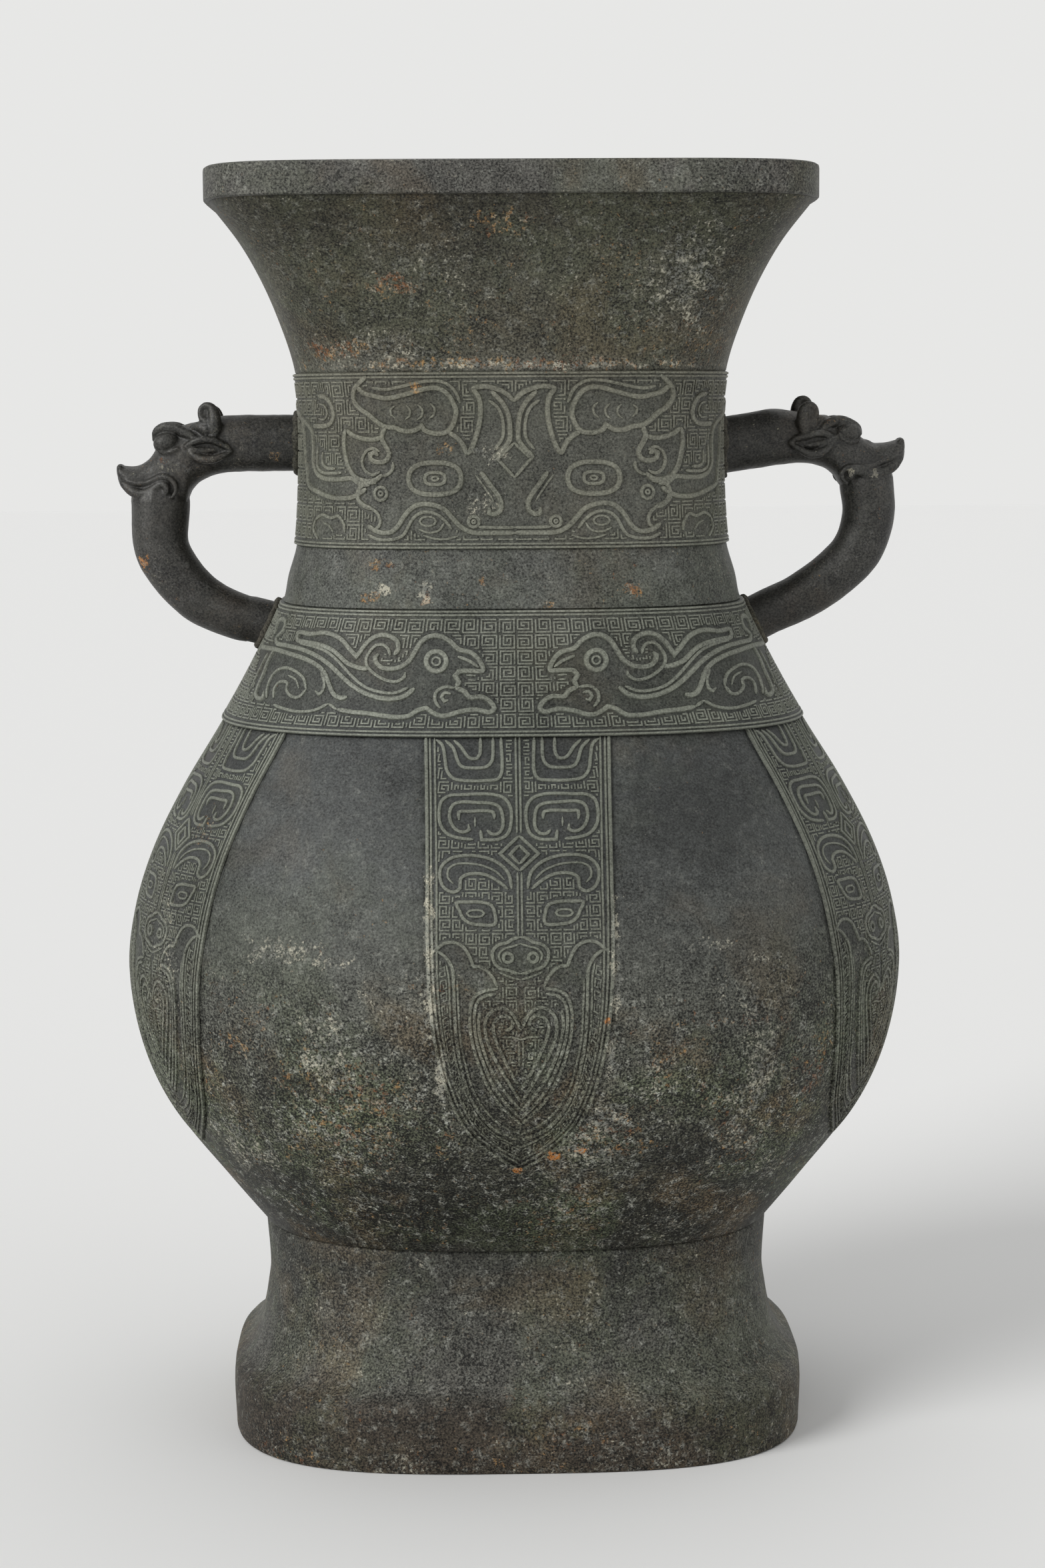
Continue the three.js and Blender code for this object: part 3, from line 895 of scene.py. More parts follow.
BIRD = Figure(
    middle=775.0,
    strokes=(
        _cord(*BIRD_BODY),
        _cord(*BIRD_CREST),
        _cord(*BIRD_UNDER),
        _cord(*BIRD_WING),
        _cord(*BIRD_TAIL),
        _line((962, 982), (964, 973), (971, 966), (982, 966), (991, 975), (997, 985), (997, 995),
              (991, 1004), (980, 1013), (968, 1019), (953, 1021), (941, 1013), (940, 1007)),
        _line((936, 1030), (956, 1038), (980, 1036), (999, 1029), (1014, 1017), (1026, 1004), (1039, 989),
              (1054, 976), (1072, 968), (1094, 962)),
        _cord((823, 1007), (842, 1006), (861, 1007), (866, 1013), (861, 1022), (866, 1031)),
        _line((831, 1001), (843, 992), (862, 984)),
        _fine((836, 1013), (850, 1012)),
        _fine((836, 1020), (848, 1019)),
        _ring((894, 991), 15, 15, Weight.CORD),
        _ring((894, 991), 6, 6, Weight.FINE),
        _line((867, 1031), (884, 1030), (896, 1039), (896, 1052), (889, 1061)),
        _line((873, 1040), (882, 1038), (887, 1045), (883, 1051), (877, 1049)),
        _line((1064, 1006), (1059, 1022), (1062, 1034), (1068, 1039), (1073, 1034)),
        _line((1054, 1053), (1042, 1062)),
        _line((1054, 1053), (1072, 1062), (1095, 1065), (1120, 1060), (1134, 1054)),
        _line((1086, 1031), (1089, 1016), (1100, 1005), (1115, 999), (1129, 1004), (1138, 1016),
              (1143, 1031), (1144, 1044)),
        _line((1134, 1044), (1132, 1029), (1124, 1020), (1113, 1022), (1115, 1031), (1109, 1041),
              (1097, 1043), (1086, 1031)),
        _fine((1097, 1030), (1100, 1018), (1112, 1010)),
        _cord((1131, 973), (1140, 989), (1147, 1007), (1155, 1025), (1159, 1037), (1155, 1045),
              (1149, 1043), (1147, 1034)),
        _line((1140, 977), (1150, 996), (1158, 1013), (1166, 1030)),
    ),
    smooth=(
        (
            *BIRD_BODY[:-3], (990, 1003), *BIRD_CREST[-2:-7:-1], (1072, 966), (1094, 961), (1126, 962),
            (1147, 967), (1160, 1037), (1155, 1045), (1134, 1054), (1100, 1064), (1072, 1062), (1054, 1053),
            (1042, 1062), *BIRD_UNDER[-3:-9:-1], *BIRD_UNDER[-10::-1], (861, 1022), (866, 1013),
            (861, 1007),
        ),
        BIRD_CREST + ((997, 995), (997, 985), (991, 975), (982, 966), (971, 966), (964, 973), (962, 982)),
        ((1117, 943), (1113, 932), (1117, 926), (1124, 932), (1129, 949), (1126, 962)),
    ),
)

BLADE_TOP = (
    (653, 1109), (662, 1116), (666, 1136), (669, 1156), (678, 1167), (697, 1171), (729, 1171), (745, 1169),
    (751, 1160), (751, 1106),
)
BLADE_SCROLL = (
    (707, 1259), (687, 1257), (669, 1251), (658, 1237), (656, 1219), (660, 1201), (672, 1193), (692, 1192),
    (715, 1191), (738, 1192), (755, 1198), (764, 1212), (764, 1237), (759, 1251), (746, 1259), (720, 1260),
    (720, 1260), (718, 1245),
)
BLADE_SCROLL_INNER = (
    (700, 1236), (701, 1244), (692, 1248), (681, 1244), (673, 1232), (672, 1218), (677, 1207), (688, 1203),
    (715, 1204), (738, 1206), (748, 1212), (752, 1228), (751, 1243), (744, 1251), (734, 1251), (728, 1245),
)
BLADE_BROW = (
    (764, 1334), (759, 1310), (743, 1294), (719, 1285), (692, 1283), (671, 1288), (658, 1300), (656, 1316),
    (662, 1331), (676, 1338), (686, 1332), (687, 1318), (699, 1311), (724, 1312), (742, 1321), (758, 1334),
)
BLADE_EYE = (
    (680, 1354), (698, 1353), (715, 1353), (733, 1358), (738, 1370), (738, 1386), (715, 1387), (699, 1384),
    (690, 1377), (685, 1366),
)
BLADE_FLOWER = (
    (776, 1406), (764, 1409), (757, 1414), (744, 1417), (734, 1427), (736, 1443), (744, 1452), (758, 1456),
    (768, 1460), (776, 1461),
)
BLADE_LEAF_TOP = (
    (641, 1430), (650, 1423), (660, 1415), (675, 1413), (690, 1420), (700, 1436), (706, 1450), (714, 1450),
    (724, 1455), (733, 1465), (741, 1481),
)
BLADE_LEAF_OUTER = (
    (650, 1425), (664, 1436), (673, 1452), (675, 1480), (676, 1515), (679, 1561), (686, 1602), (695, 1635),
    (708, 1661), (731, 1690), (752, 1702), (776, 1711),
)
BLADE_LEAF_INNER = (
    (741, 1483), (722, 1486), (708, 1493), (701, 1508), (699, 1537), (703, 1565), (712, 1597), (726, 1630),
    (744, 1657), (776, 1687),
)
BLADE_HEART = (
    (776, 1545), (770, 1533), (763, 1521), (749, 1512), (735, 1515), (724, 1527), (722, 1547), (730, 1575),
    (744, 1602), (758, 1625), (776, 1655),
)
BLADE_HEART_INNER = (
    (752, 1546), (760, 1543), (764, 1535), (758, 1526), (748, 1524), (738, 1530), (734, 1542), (738, 1560),
    (748, 1584), (761, 1610), (776, 1636),
)
BLADE_EDGE = (
    (638, 1104), (638, 1200), (637, 1320), (636, 1400), (637, 1460), (640, 1510), (646, 1561), (661, 1625),
    (680, 1673), (700, 1703), (730, 1729), (776, 1756),
)
BLADE_RIM = (
    (651, 1106), (651, 1200), (651, 1320), (650, 1400), (650, 1450), (652, 1500), (657, 1548), (668, 1602),
    (688, 1658), (706, 1689), (736, 1717), (776, 1740),
)
BLADE_STRIP = (
    (664, 1446), (668, 1470), (669, 1510), (672, 1555), (680, 1600), (701, 1660), (722, 1689), (745, 1707),
    (776, 1721),
)
BLADE = Figure(
    middle=776.0,
    strokes=(
        _line(*BLADE_EDGE),
        _fine((644, 1106), (644, 1200), (643, 1320), (643, 1400), (644, 1460), (647, 1510), (653, 1560),
              (667, 1621), (686, 1668), (705, 1697), (733, 1721), (776, 1747)),
        _fine(*BLADE_RIM),
        _fine(*BLADE_STRIP),
        _fine((773, 1106), (773, 1200), (773, 1250)),
        _fine((773, 1309), (773, 1350), (773, 1404)),
        _line(*BLADE_TOP),
        _line((667, 1110), (679, 1122), (686, 1143), (692, 1150), (708, 1152), (729, 1150), (737, 1141),
              (739, 1106)),
        _line((680, 1110), (692, 1122), (699, 1133), (706, 1138), (715, 1137), (719, 1131), (720, 1106)),
        _line(*BLADE_SCROLL),
        _line(*BLADE_SCROLL_INNER),
        _line((686, 1230), (686, 1218), (700, 1217), (738, 1219), (739, 1229)),
        _fine((710, 1226), (710, 1240)),
        _line((776, 1268), (776, 1268), (762, 1282), (762, 1282), (776, 1297), (776, 1297)),
        _line((776, 1254), (776, 1254), (747, 1281), (747, 1281), (776, 1307), (776, 1307)),
        _line(*BLADE_BROW),
        _fine((753, 1320), (741, 1308), (722, 1299), (700, 1295), (680, 1296), (669, 1303), (668, 1316),
              (676, 1325)),
        Stroke(BLADE_EYE, Weight.LINE, True),
        _ring((709, 1370), 13, 5, Weight.FINE, 2.6),
        _line(*BLADE_FLOWER),
        _ring((757, 1437), 7, 7),
        _fine((776, 1416), (764, 1420), (750, 1424), (743, 1434), (748, 1445)),
        _fine((776, 1470), (764, 1467), (753, 1463), (742, 1458)),
        _line(*BLADE_LEAF_TOP),
        _line(*BLADE_LEAF_OUTER),
        _line(*BLADE_LEAF_INNER),
        _line((738, 1491), (722, 1494), (713, 1500), (707, 1513), (706, 1538), (710, 1565), (719, 1594),
              (732, 1624), (749, 1650), (776, 1678)),
        _line((714, 1516), (712, 1540), (716, 1563), (725, 1591), (738, 1618), (754, 1641), (776, 1667)),
        _fine((680, 1470), (682, 1515), (685, 1560), (693, 1600), (703, 1634), (721, 1664), (745, 1687),
              (776, 1702)),
        _line(*BLADE_HEART),
        _line(*BLADE_HEART_INNER),
        _fine((776, 1560), (762, 1556), (748, 1556)),
        _fine((773, 1560), (773, 1600)),
    ),
    smooth=(
        BLADE_TOP,
        BLADE_SCROLL,
        ((777, 1254), (747, 1281), (777, 1307)),
        BLADE_BROW,
        BLADE_EYE,
        BLADE_FLOWER,
        BLADE_LEAF_TOP + BLADE_LEAF_INNER + BLADE_LEAF_OUTER[::-1],
        BLADE_HEART + BLADE_HEART_INNER[::-1],
        BLADE_RIM[4:] + BLADE_STRIP[::-1],
    ),
)


class Clearing:
    """Says where on the unrolled face the ground pattern may run."""

    STEP = 0.25

    def __init__(self, reach: float, low: float, high: float, open_ground: bool) -> None:
        """Lays out the grid.

        Args:
            reach: How far it goes to each side of the middle line.
            low: Lowest height.
            high: Highest height.
            open_ground: Whether all of it starts free.
        """
        self.reach, self.low = reach, low
        self.along = np.arange(-reach, reach + self.STEP, self.STEP)
        self.heights = np.arange(low, high + self.STEP, self.STEP)
        self.free = np.full((len(self.heights), len(self.along)), open_ground)

    def _inside(self, shape: np.ndarray) -> np.ndarray:
        """Finds the cells inside a closed outline.

        Args:
            shape: Corners of the outline.

        Returns:
            Whether each cell's middle lies inside.
        """
        x, z = self.along[None, :], self.heights[:, None]
        odd = np.zeros(self.free.shape, bool)
        for (x0, z0), (x1, z1) in zip(shape, np.roll(shape, -1, axis=0)):
            if z0 == z1:
                continue
            crosses = (z0 > z) != (z1 > z)
            odd ^= crosses & (x < (x1 - x0) * (z - z0) / (z1 - z0) + x0)
        return odd

    def open_inside(self, shape: np.ndarray) -> None:
        """Frees the inside of an outline."""
        self.free |= self._inside(shape)

    def close_inside(self, shape: np.ndarray) -> None:
        """Keeps the pattern out of an outline."""
        self.free &= ~self._inside(shape)

    def close_along(self, path: np.ndarray, reach: float) -> None:
        """Keeps the pattern away from a line.

        Args:
            path: Points of the line.
            reach: How far away it keeps.
        """
        for (x0, z0), (x1, z1) in zip(path[:-1], path[1:]):
            left = np.searchsorted(self.along, min(x0, x1) - reach)
            right = np.searchsorted(self.along, max(x0, x1) + reach)
            low = np.searchsorted(self.heights, min(z0, z1) - reach)
            high = np.searchsorted(self.heights, max(z0, z1) + reach)
            x, z = self.along[None, left:right], self.heights[low:high, None]
            length = max((x1 - x0) ** 2 + (z1 - z0) ** 2, NEXT_TO_NOTHING)
            t = np.clip(((x - x0) * (x1 - x0) + (z - z0) * (z1 - z0)) / length, 0, 1)
            away = np.hypot(x - x0 - t * (x1 - x0), z - z0 - t * (z1 - z0))
            self.free[low:high, left:right] &= away > reach

    def is_free(self, along: np.ndarray, z: np.ndarray) -> np.ndarray:
        """Finds whether places are free.

        Args:
            along: Millimetres along the face from the middle line.
            z: Heights.

        Returns:
            Whether each place is free.
        """
        i = np.clip(((z - self.low) / self.STEP + 0.5).astype(int), 0, len(self.heights) - 1)
        j = np.clip(((along + self.reach) / self.STEP + 0.5).astype(int), 0, len(self.along) - 1)
        inside = (np.abs(along) <= self.reach) & (z >= self.low) & (z <= self.heights[-1])
        return self.free[i, j] & inside


class Relief:
    """Raised lines on the wall, gathered into one mesh.

    They are laid in mesh code, because each follows both curves of the wall and no primitive does.
    """

    SHOULDER = 0.66
    SHOULDER_HEIGHT = 0.84
    SINK = 0.32
    # Painted shade on each corner of a line's section: darkest at its two feet on the ground, none on its
    # top.
    FLANK_SHADE = (1.3, 0.4, 0.0, 0.4, 1.3)
    CLOSEST = 0.05
    SHARPEST = 0.66
    TIP_BREADTH = 0.45
    TIP_HEIGHT = 0.4
    CREASE = 50.0

    def __init__(self, outline: Outline, lift: float) -> None:
        """Starts empty on a face.

        Args:
            outline: The face.
            lift: How far the ground stands out from the outline.
        """
        self.outline, self.lift = outline, lift
        self.points: list[np.ndarray] = []
        self.faces: list[tuple[int, ...]] = []
        self.count = 0

    def lay(
        self, share: np.ndarray, z: np.ndarray, weight: Weight, closed: bool = False, taper: bool = True
    ) -> None:
        """Lays one line.

        Args:
            share: Way round in quarters.
            z: Heights.
            weight: Breadth and height of the line.
            closed: Whether it runs back to its start.
            taper: Whether its ends grow thin.
        """
        middle = self.outline.point(share, z, self.lift)
        gaps = np.linalg.norm(np.diff(middle, axis=0), axis=1)
        keep = np.concatenate([[True], gaps > self.CLOSEST])
        middle, share, z = middle[keep], share[keep], z[keep]
        if closed and np.linalg.norm(middle[0] - middle[-1]) < self.CLOSEST:
            middle, share, z = middle[:-1], share[:-1], z[:-1]
        count = len(middle)
        if count < 2:
            return
        up = self.outline.normal(share, z, self.lift)
        step = _unit(np.roll(middle, -1, axis=0) - middle)
        before = np.roll(step, 1, axis=0)
        if not closed:
            before[0] = step[0]
            step[-1] = before[-1]
        course = _unit(step + before)
        aside = _unit(np.cross(up, course))
        mitre = 1 / np.clip(np.sum(course * step, axis=1), self.SHARPEST, 1)
        breadth, height = weight.value
        full = np.ones(count)
        if taper and not closed:
            full[0] = full[-1] = self.TIP_BREADTH
        half = (breadth / 2 * mitre * full)[:, None]
        rise = (height * (self.TIP_HEIGHT + (1 - self.TIP_HEIGHT) * full))[:, None]
        foot, shoulder = aside * half, aside * half * self.SHOULDER
        section = [
            middle - foot - up * self.SINK,
            middle - shoulder + up * rise * self.SHOULDER_HEIGHT,
            middle + up * rise,
            middle + shoulder + up * rise * self.SHOULDER_HEIGHT,
            middle + foot - up * self.SINK,
        ]
        corners = len(section)
        first = self.count
        self.points.append(np.stack(section, axis=1).reshape(-1, 3))
        self.count += count * corners
        for i in range(count if closed else count - 1):
            a, b = first + i * corners, first + (i + 1) % count * corners
            for j in range(corners):
                k = (j + 1) % corners
                self.faces.append((a + j, b + j, b + k, a + k))
        if not closed:
            end = self.count - corners
            self.faces.append(tuple(range(first, first + corners)))
            self.faces.append(tuple(range(end + corners - 1, end - 1, -1)))

    def lay_flat(self, flat: np.ndarray, centre: float, weight: Weight, closed: bool = False) -> None:
        """Lays a line that is flat on the unrolled face.

        Args:
            flat: Millimetres along the face from a centre line, with the height.
            centre: The centre line, in quarters from the middle of the front.
            weight: Breadth and height of the line.
            closed: Whether it runs back to its start.
        """
        z = flat[:, 1]
        self.lay(centre + flat[:, 0] / self.outline.quarter(z), z, weight, closed)

    def finish(self, name: str) -> Item:
        """Makes the object, with painted shade marked on its flanks, as dark as the ground.

        Args:
            name: Name of the piece.

        Returns:
            The piece.
        """
        item = mesh_piece(name, np.concatenate(self.points), self.faces)
        attribute = item.data.attributes.new("ground", "FLOAT", "POINT")
        attribute.data.foreach_set("value", self.FLANK_SHADE * (self.count // len(self.FLANK_SHADE)))
        soften(item, self.CREASE)
        return item


class SquareSpirals:
    """The ground of square spirals, cut off where a figure stands."""

    SAMPLE = 0.5
    SHORTEST = 3
    TURNINGS = 8

    def __init__(self, relief: Relief, clearing: Clearing, centre: float = 0.0) -> None:
        """Prepares to fill a clearing.

        Args:
            relief: Where the threads are laid.
            clearing: Where they may run.
            centre: Centre line, in quarters from the middle of the front.
        """
        self.relief, self.clearing, self.centre = relief, clearing, centre

    @staticmethod
    def spiral(threads: int, turned: int) -> np.ndarray:
        """A square spiral in a unit square.

        Args:
            threads: How many threads cross the square.
            turned: Quarter turns and mirroring, from 0 to 7.

        Returns:
            Its corners.
        """
        pitch = 1.0 / threads
        low, high = pitch / 2, 1 - pitch / 2
        corners = [(low, low), (high, low), (high, high), (low, high)]
        reach = threads - 1
        x, y = low, high
        course = [(0, -1), (1, 0), (0, 1), (-1, 0)]
        heading = 0
        reach -= 1
        while reach > 0:
            for _ in range(2):
                dx, dy = course[heading % 4]
                x, y = x + dx * reach * pitch, y + dy * reach * pitch
                corners.append((x, y))
                heading += 1
            reach -= 1
        found = np.array(corners) - 0.5
        for _ in range(turned % 4):
            found = np.stack([-found[:, 1], found[:, 0]], axis=-1)
        if turned >= 4:
            found[:, 0] *= -1
        return found + 0.5

    def fill_row(self, ends: Pair, heights: Pair, count: int, threads: int, row: int) -> None:
        """Fills one row of squares.

        Args:
            ends: Both ends, in millimetres from the centre line at the row's middle height.
            heights: Its lower and upper height.
            count: Number of squares.
            threads: Threads across a square.
            row: Number of the row, which alternates the spirals.
        """
        left, right = ends
        low, high = heights
        quarter = self.relief.outline.quarter_at((low + high) / 2)
        cell = (right - left) / count
        for k in range(count):
            corners = self.spiral(threads, (k * 3 + row * 5) % self.TURNINGS)
            along = left + (k + corners[:, 0]) * cell
            self._lay_cut(along, low + (high - low) * corners[:, 1], quarter)

    def _lay_cut(self, along: np.ndarray, z: np.ndarray, quarter: float) -> None:
        """Lays one thread, cut where it isn't free.

        Args:
            along: Its corners, in millimetres from the centre line.
            z: Heights of the corners.
            quarter: Length of a quarter of the ring there.
        """
        xs, zs, is_corner = [], [], []
        for i in range(len(along) - 1):
            length = math.hypot(along[i + 1] - along[i], z[i + 1] - z[i])
            steps = max(2, int(math.ceil(length / self.SAMPLE)))
            t = np.arange(steps) / steps
            xs.append(along[i] + (along[i + 1] - along[i]) * t)
            zs.append(z[i] + (z[i + 1] - z[i]) * t)
            is_corner.extend([True] + [False] * (steps - 1))
        xs.append(along[-1:])
        zs.append(z[-1:])
        is_corner.append(True)
        x, h = np.concatenate(xs), np.concatenate(zs)
        free = self.clearing.is_free(x, h)
        if not free.any():
            return
        start = None
        for i in range(len(x) + 1):
            here = i < len(x) and free[i]
            if here and start is None:
                start = i
            elif not here and start is not None:
                if i - start >= self.SHORTEST:
                    keep = [j for j in range(start, i) if is_corner[j] or j in (start, i - 1)]
                    share = self.centre + x[keep] / quarter
                    self.relief.lay(share, h[keep], Weight.THREAD, taper=False)
                start = None


@dataclass(frozen=True)
class GroundLevels:
    """How far the plain panels and the ground of the ornament stand out from the outline."""

    panel: float = -1.0
    blade: float = -0.62
    band: float = 0.7


@dataclass
class Ornament:
    """All the raised ornament of the body: two bands and six blades."""

    sizes: VesselSizes
    outline: Outline
    view: PhotoView
    levels: GroundLevels
    square: float = 6.4
    square_threads: int = 5
    mask_rows: int = 9
    bird_rows: int = 7
    blade_square: float = 4.7
    blade_threads: int = 4
    blade_columns: int = 7
    blade_middle: float = 1.0
    blade_reach: float = 40.0
    blade_place: float = 0.715
    fret_threads: int = 3
    fret_margin: float = 0.12
    line_spacing: float = 1.3
    line_margin: float = 0.55
    edge_lines: tuple[float, ...] = (0.55, 1.8)
    edge_breadth: float = 2.8
    clear_breadth: float = 2.9
    ring_samples: int = 181
    band_spare: float = 2.0
    blade_gap: float = 0.4
    thread_gap: float = 0.8
    fret_closeness: float = 0.9
    edge_spacing: float = 2.0

    def _half(self, figure: Figure, stroke: Stroke) -> np.ndarray:
        """One stroke of a half figure, smooth, in millimetres on the face."""
        flat = self.view.flatten(self.outline, stroke.pixels, figure.middle)
        return smooth_path(flat, self.line_spacing, stroke.closed)

    def _draw(self, relief: Relief, figure: Figure, clearing: Clearing, centre: float) -> None:
        """Lays a figure with its mirror image and closes the ground there.

        Args:
            relief: Where its lines are laid.
            figure: The half figure.
            clearing: The ground that it closes.
            centre: Its centre line, in quarters from the middle of the front.
        """
        for stroke in figure.strokes:
            flat = self._half(figure, stroke)
            for mirror in (1, -1):
                path = flat * (mirror, 1)
                relief.lay_flat(path, centre, stroke.weight, stroke.closed)
                clearing.close_along(path, stroke.weight.value[0] / 2 + self.line_margin)
        for shape in figure.smooth:
            flat = self.view.flatten(self.outline, shape, figure.middle)
            for mirror in (1, -1):
                clearing.close_inside(flat * (mirror, 1))

    def _ring_line(self, relief: Relief, z: float) -> None:
        """Lays a level line from side to side over the front half."""
        share = np.linspace(-1.0, 1.0, self.ring_samples)
        relief.lay(share, np.full_like(share, z), Weight.FINE, taper=False)

    def _band(self, name: str, figure: Figure, low: float, high: float, rows: int) -> list[Item]:
        """The front half of a band and its copy behind.

        Args:
            name: Name of the band.
            figure: The figure on it.
            low: Its lower edge.
            high: Its upper edge.
            rows: Rows of squares.

        Returns:
            The pieces.
        """
        relief = Relief(self.outline, self.levels.band)
        for inset in self.edge_lines:
            self._ring_line(relief, low + inset)
            self._ring_line(relief, high - inset)
        reach = max(self.outline.quarter_at(low), self.outline.quarter_at(high)) + self.band_spare
        clearing = Clearing(reach, low + self.clear_breadth, high - self.clear_breadth, True)
        self._draw(relief, figure, clearing, 0.0)
        ground = Relief(self.outline, self.levels.band)
        spirals = SquareSpirals(ground, clearing)
        levels = self.outline.meridian(low + self.edge_breadth, high - self.edge_breadth, rows)
        for row, (z0, z1) in enumerate(zip(levels[:-1], levels[1:])):
            quarter = self.outline.quarter_at((z0 + z1) / 2)
            count = 2 * int(round(quarter / self.square))
            spirals.fill_row((-quarter, quarter), (z0, z1), count, self.square_threads, row)
        pieces = []
        for part, laid in (("figure", relief), ("ground", ground)):
            front = laid.finish(f"{name}_{part}_front")
            behind = bpy.data.objects.new(f"{name}_{part}_back", front.data.copy())
            bpy.context.scene.collection.objects.link(behind)
            behind.matrix_world = Matrix.Rotation(math.pi, 4, "Z")
            settle(behind)
            pieces += [front, behind]
        return pieces

    def mask_band(self) -> list[Item]:
        """The beast mask round the neck."""
        sizes = self.sizes
        return self._band("mask", MASK, sizes.mask_band_bottom, sizes.mask_band_top, self.mask_rows)

    def bird_band(self) -> list[Item]:
        """The birds round the shoulder."""
        sizes = self.sizes
        return self._band("bird", BIRD, sizes.shoulder_band_bottom, sizes.neck_seam, self.bird_rows)

    def _fret(self, relief: Relief, centre: float) -> None:
        """Lays square spirals down the strip between the rim and the leaf of a blade.

        Args:
            relief: Where they are laid.
            centre: The blade's centre line, in quarters from the middle of the front.
        """
        edges = [self._half(BLADE, Stroke(pixels)) for pixels in (BLADE_RIM, BLADE_STRIP)]
        top = edges[1][0, 1]
        outer, inner = (edge[edge[:, 1] <= top] for edge in edges)
        length = np.linalg.norm(np.diff(inner, axis=0), axis=1).sum()
        count = int(length / (self.blade_square * self.fret_closeness))
        for k in range(count):
            corners = SquareSpirals.spiral(self.fret_threads, (k * 3) % SquareSpirals.TURNINGS)
            share = (k + corners[:, 1]) / count
            across = (self.fret_margin + (1 - 2 * self.fret_margin) * corners[:, 0])[:, None]
            flat = _along(outer, share) * (1 - across) + _along(inner, share) * across
            for mirror in (1, -1):
                relief.lay_flat(flat * (mirror, 1), centre, Weight.THREAD)

    def blade(self, name: str, centre: float) -> Item:
        """One hanging blade.

        Args:
            name: Name of the piece.
            centre: Its centre line, in quarters from the middle of the front.

        Returns:
            The piece.
        """
        relief = Relief(self.outline, self.levels.blade)
        edge = self.view.flatten(self.outline, BLADE_EDGE, BLADE.middle)
        top = self.sizes.shoulder_band_bottom
        clearing = Clearing(self.blade_reach, float(edge[:, 1].min()), top - self.blade_gap, False)
        clearing.open_inside(np.concatenate([edge, (edge * (-1, 1))[::-1]]))
        self._draw(relief, BLADE, clearing, centre)
        self._fret(relief, centre)
        spirals = SquareSpirals(relief, clearing, centre)
        low, high = clearing.low, top - self.thread_gap
        levels = np.linspace(high, low, int(round((high - low) / self.blade_square)) + 1)
        near, far = self.blade_middle, self.blade_columns * self.blade_square + self.blade_middle
        for row, (z1, z0) in enumerate(zip(levels[:-1], levels[1:])):
            for ends in ((-far, -near), (near, far)):
                spirals.fill_row(ends, (z0, z1), self.blade_columns, self.blade_threads, row)
        return relief.finish(name)

    def blades(self) -> list[Item]:
        """The six blades: front, back and four at the corners.

        Returns:
            The pieces.
        """
        places = {
            "front": 0.0,
            "front_right": self.blade_place,
            "back_right": 2 - self.blade_place,
            "back": 2.0,
            "back_left": self.blade_place - 2,
            "front_left": -self.blade_place,
        }
        return [self.blade(f"blade_{name}", centre) for name, centre in places.items()]

    def blade_edge(self) -> np.ndarray:
        """Measures a blade, for the step in the wall under it.

        Returns:
            A row of heights and a row of half breadths.
        """
        edge = self.view.flatten(self.outline, BLADE_EDGE, BLADE.middle)
        edge = smooth_path(edge, self.edge_spacing)
        order = np.argsort(edge[:, 1])
        return np.stack([edge[order, 1], np.abs(edge[order, 0])])


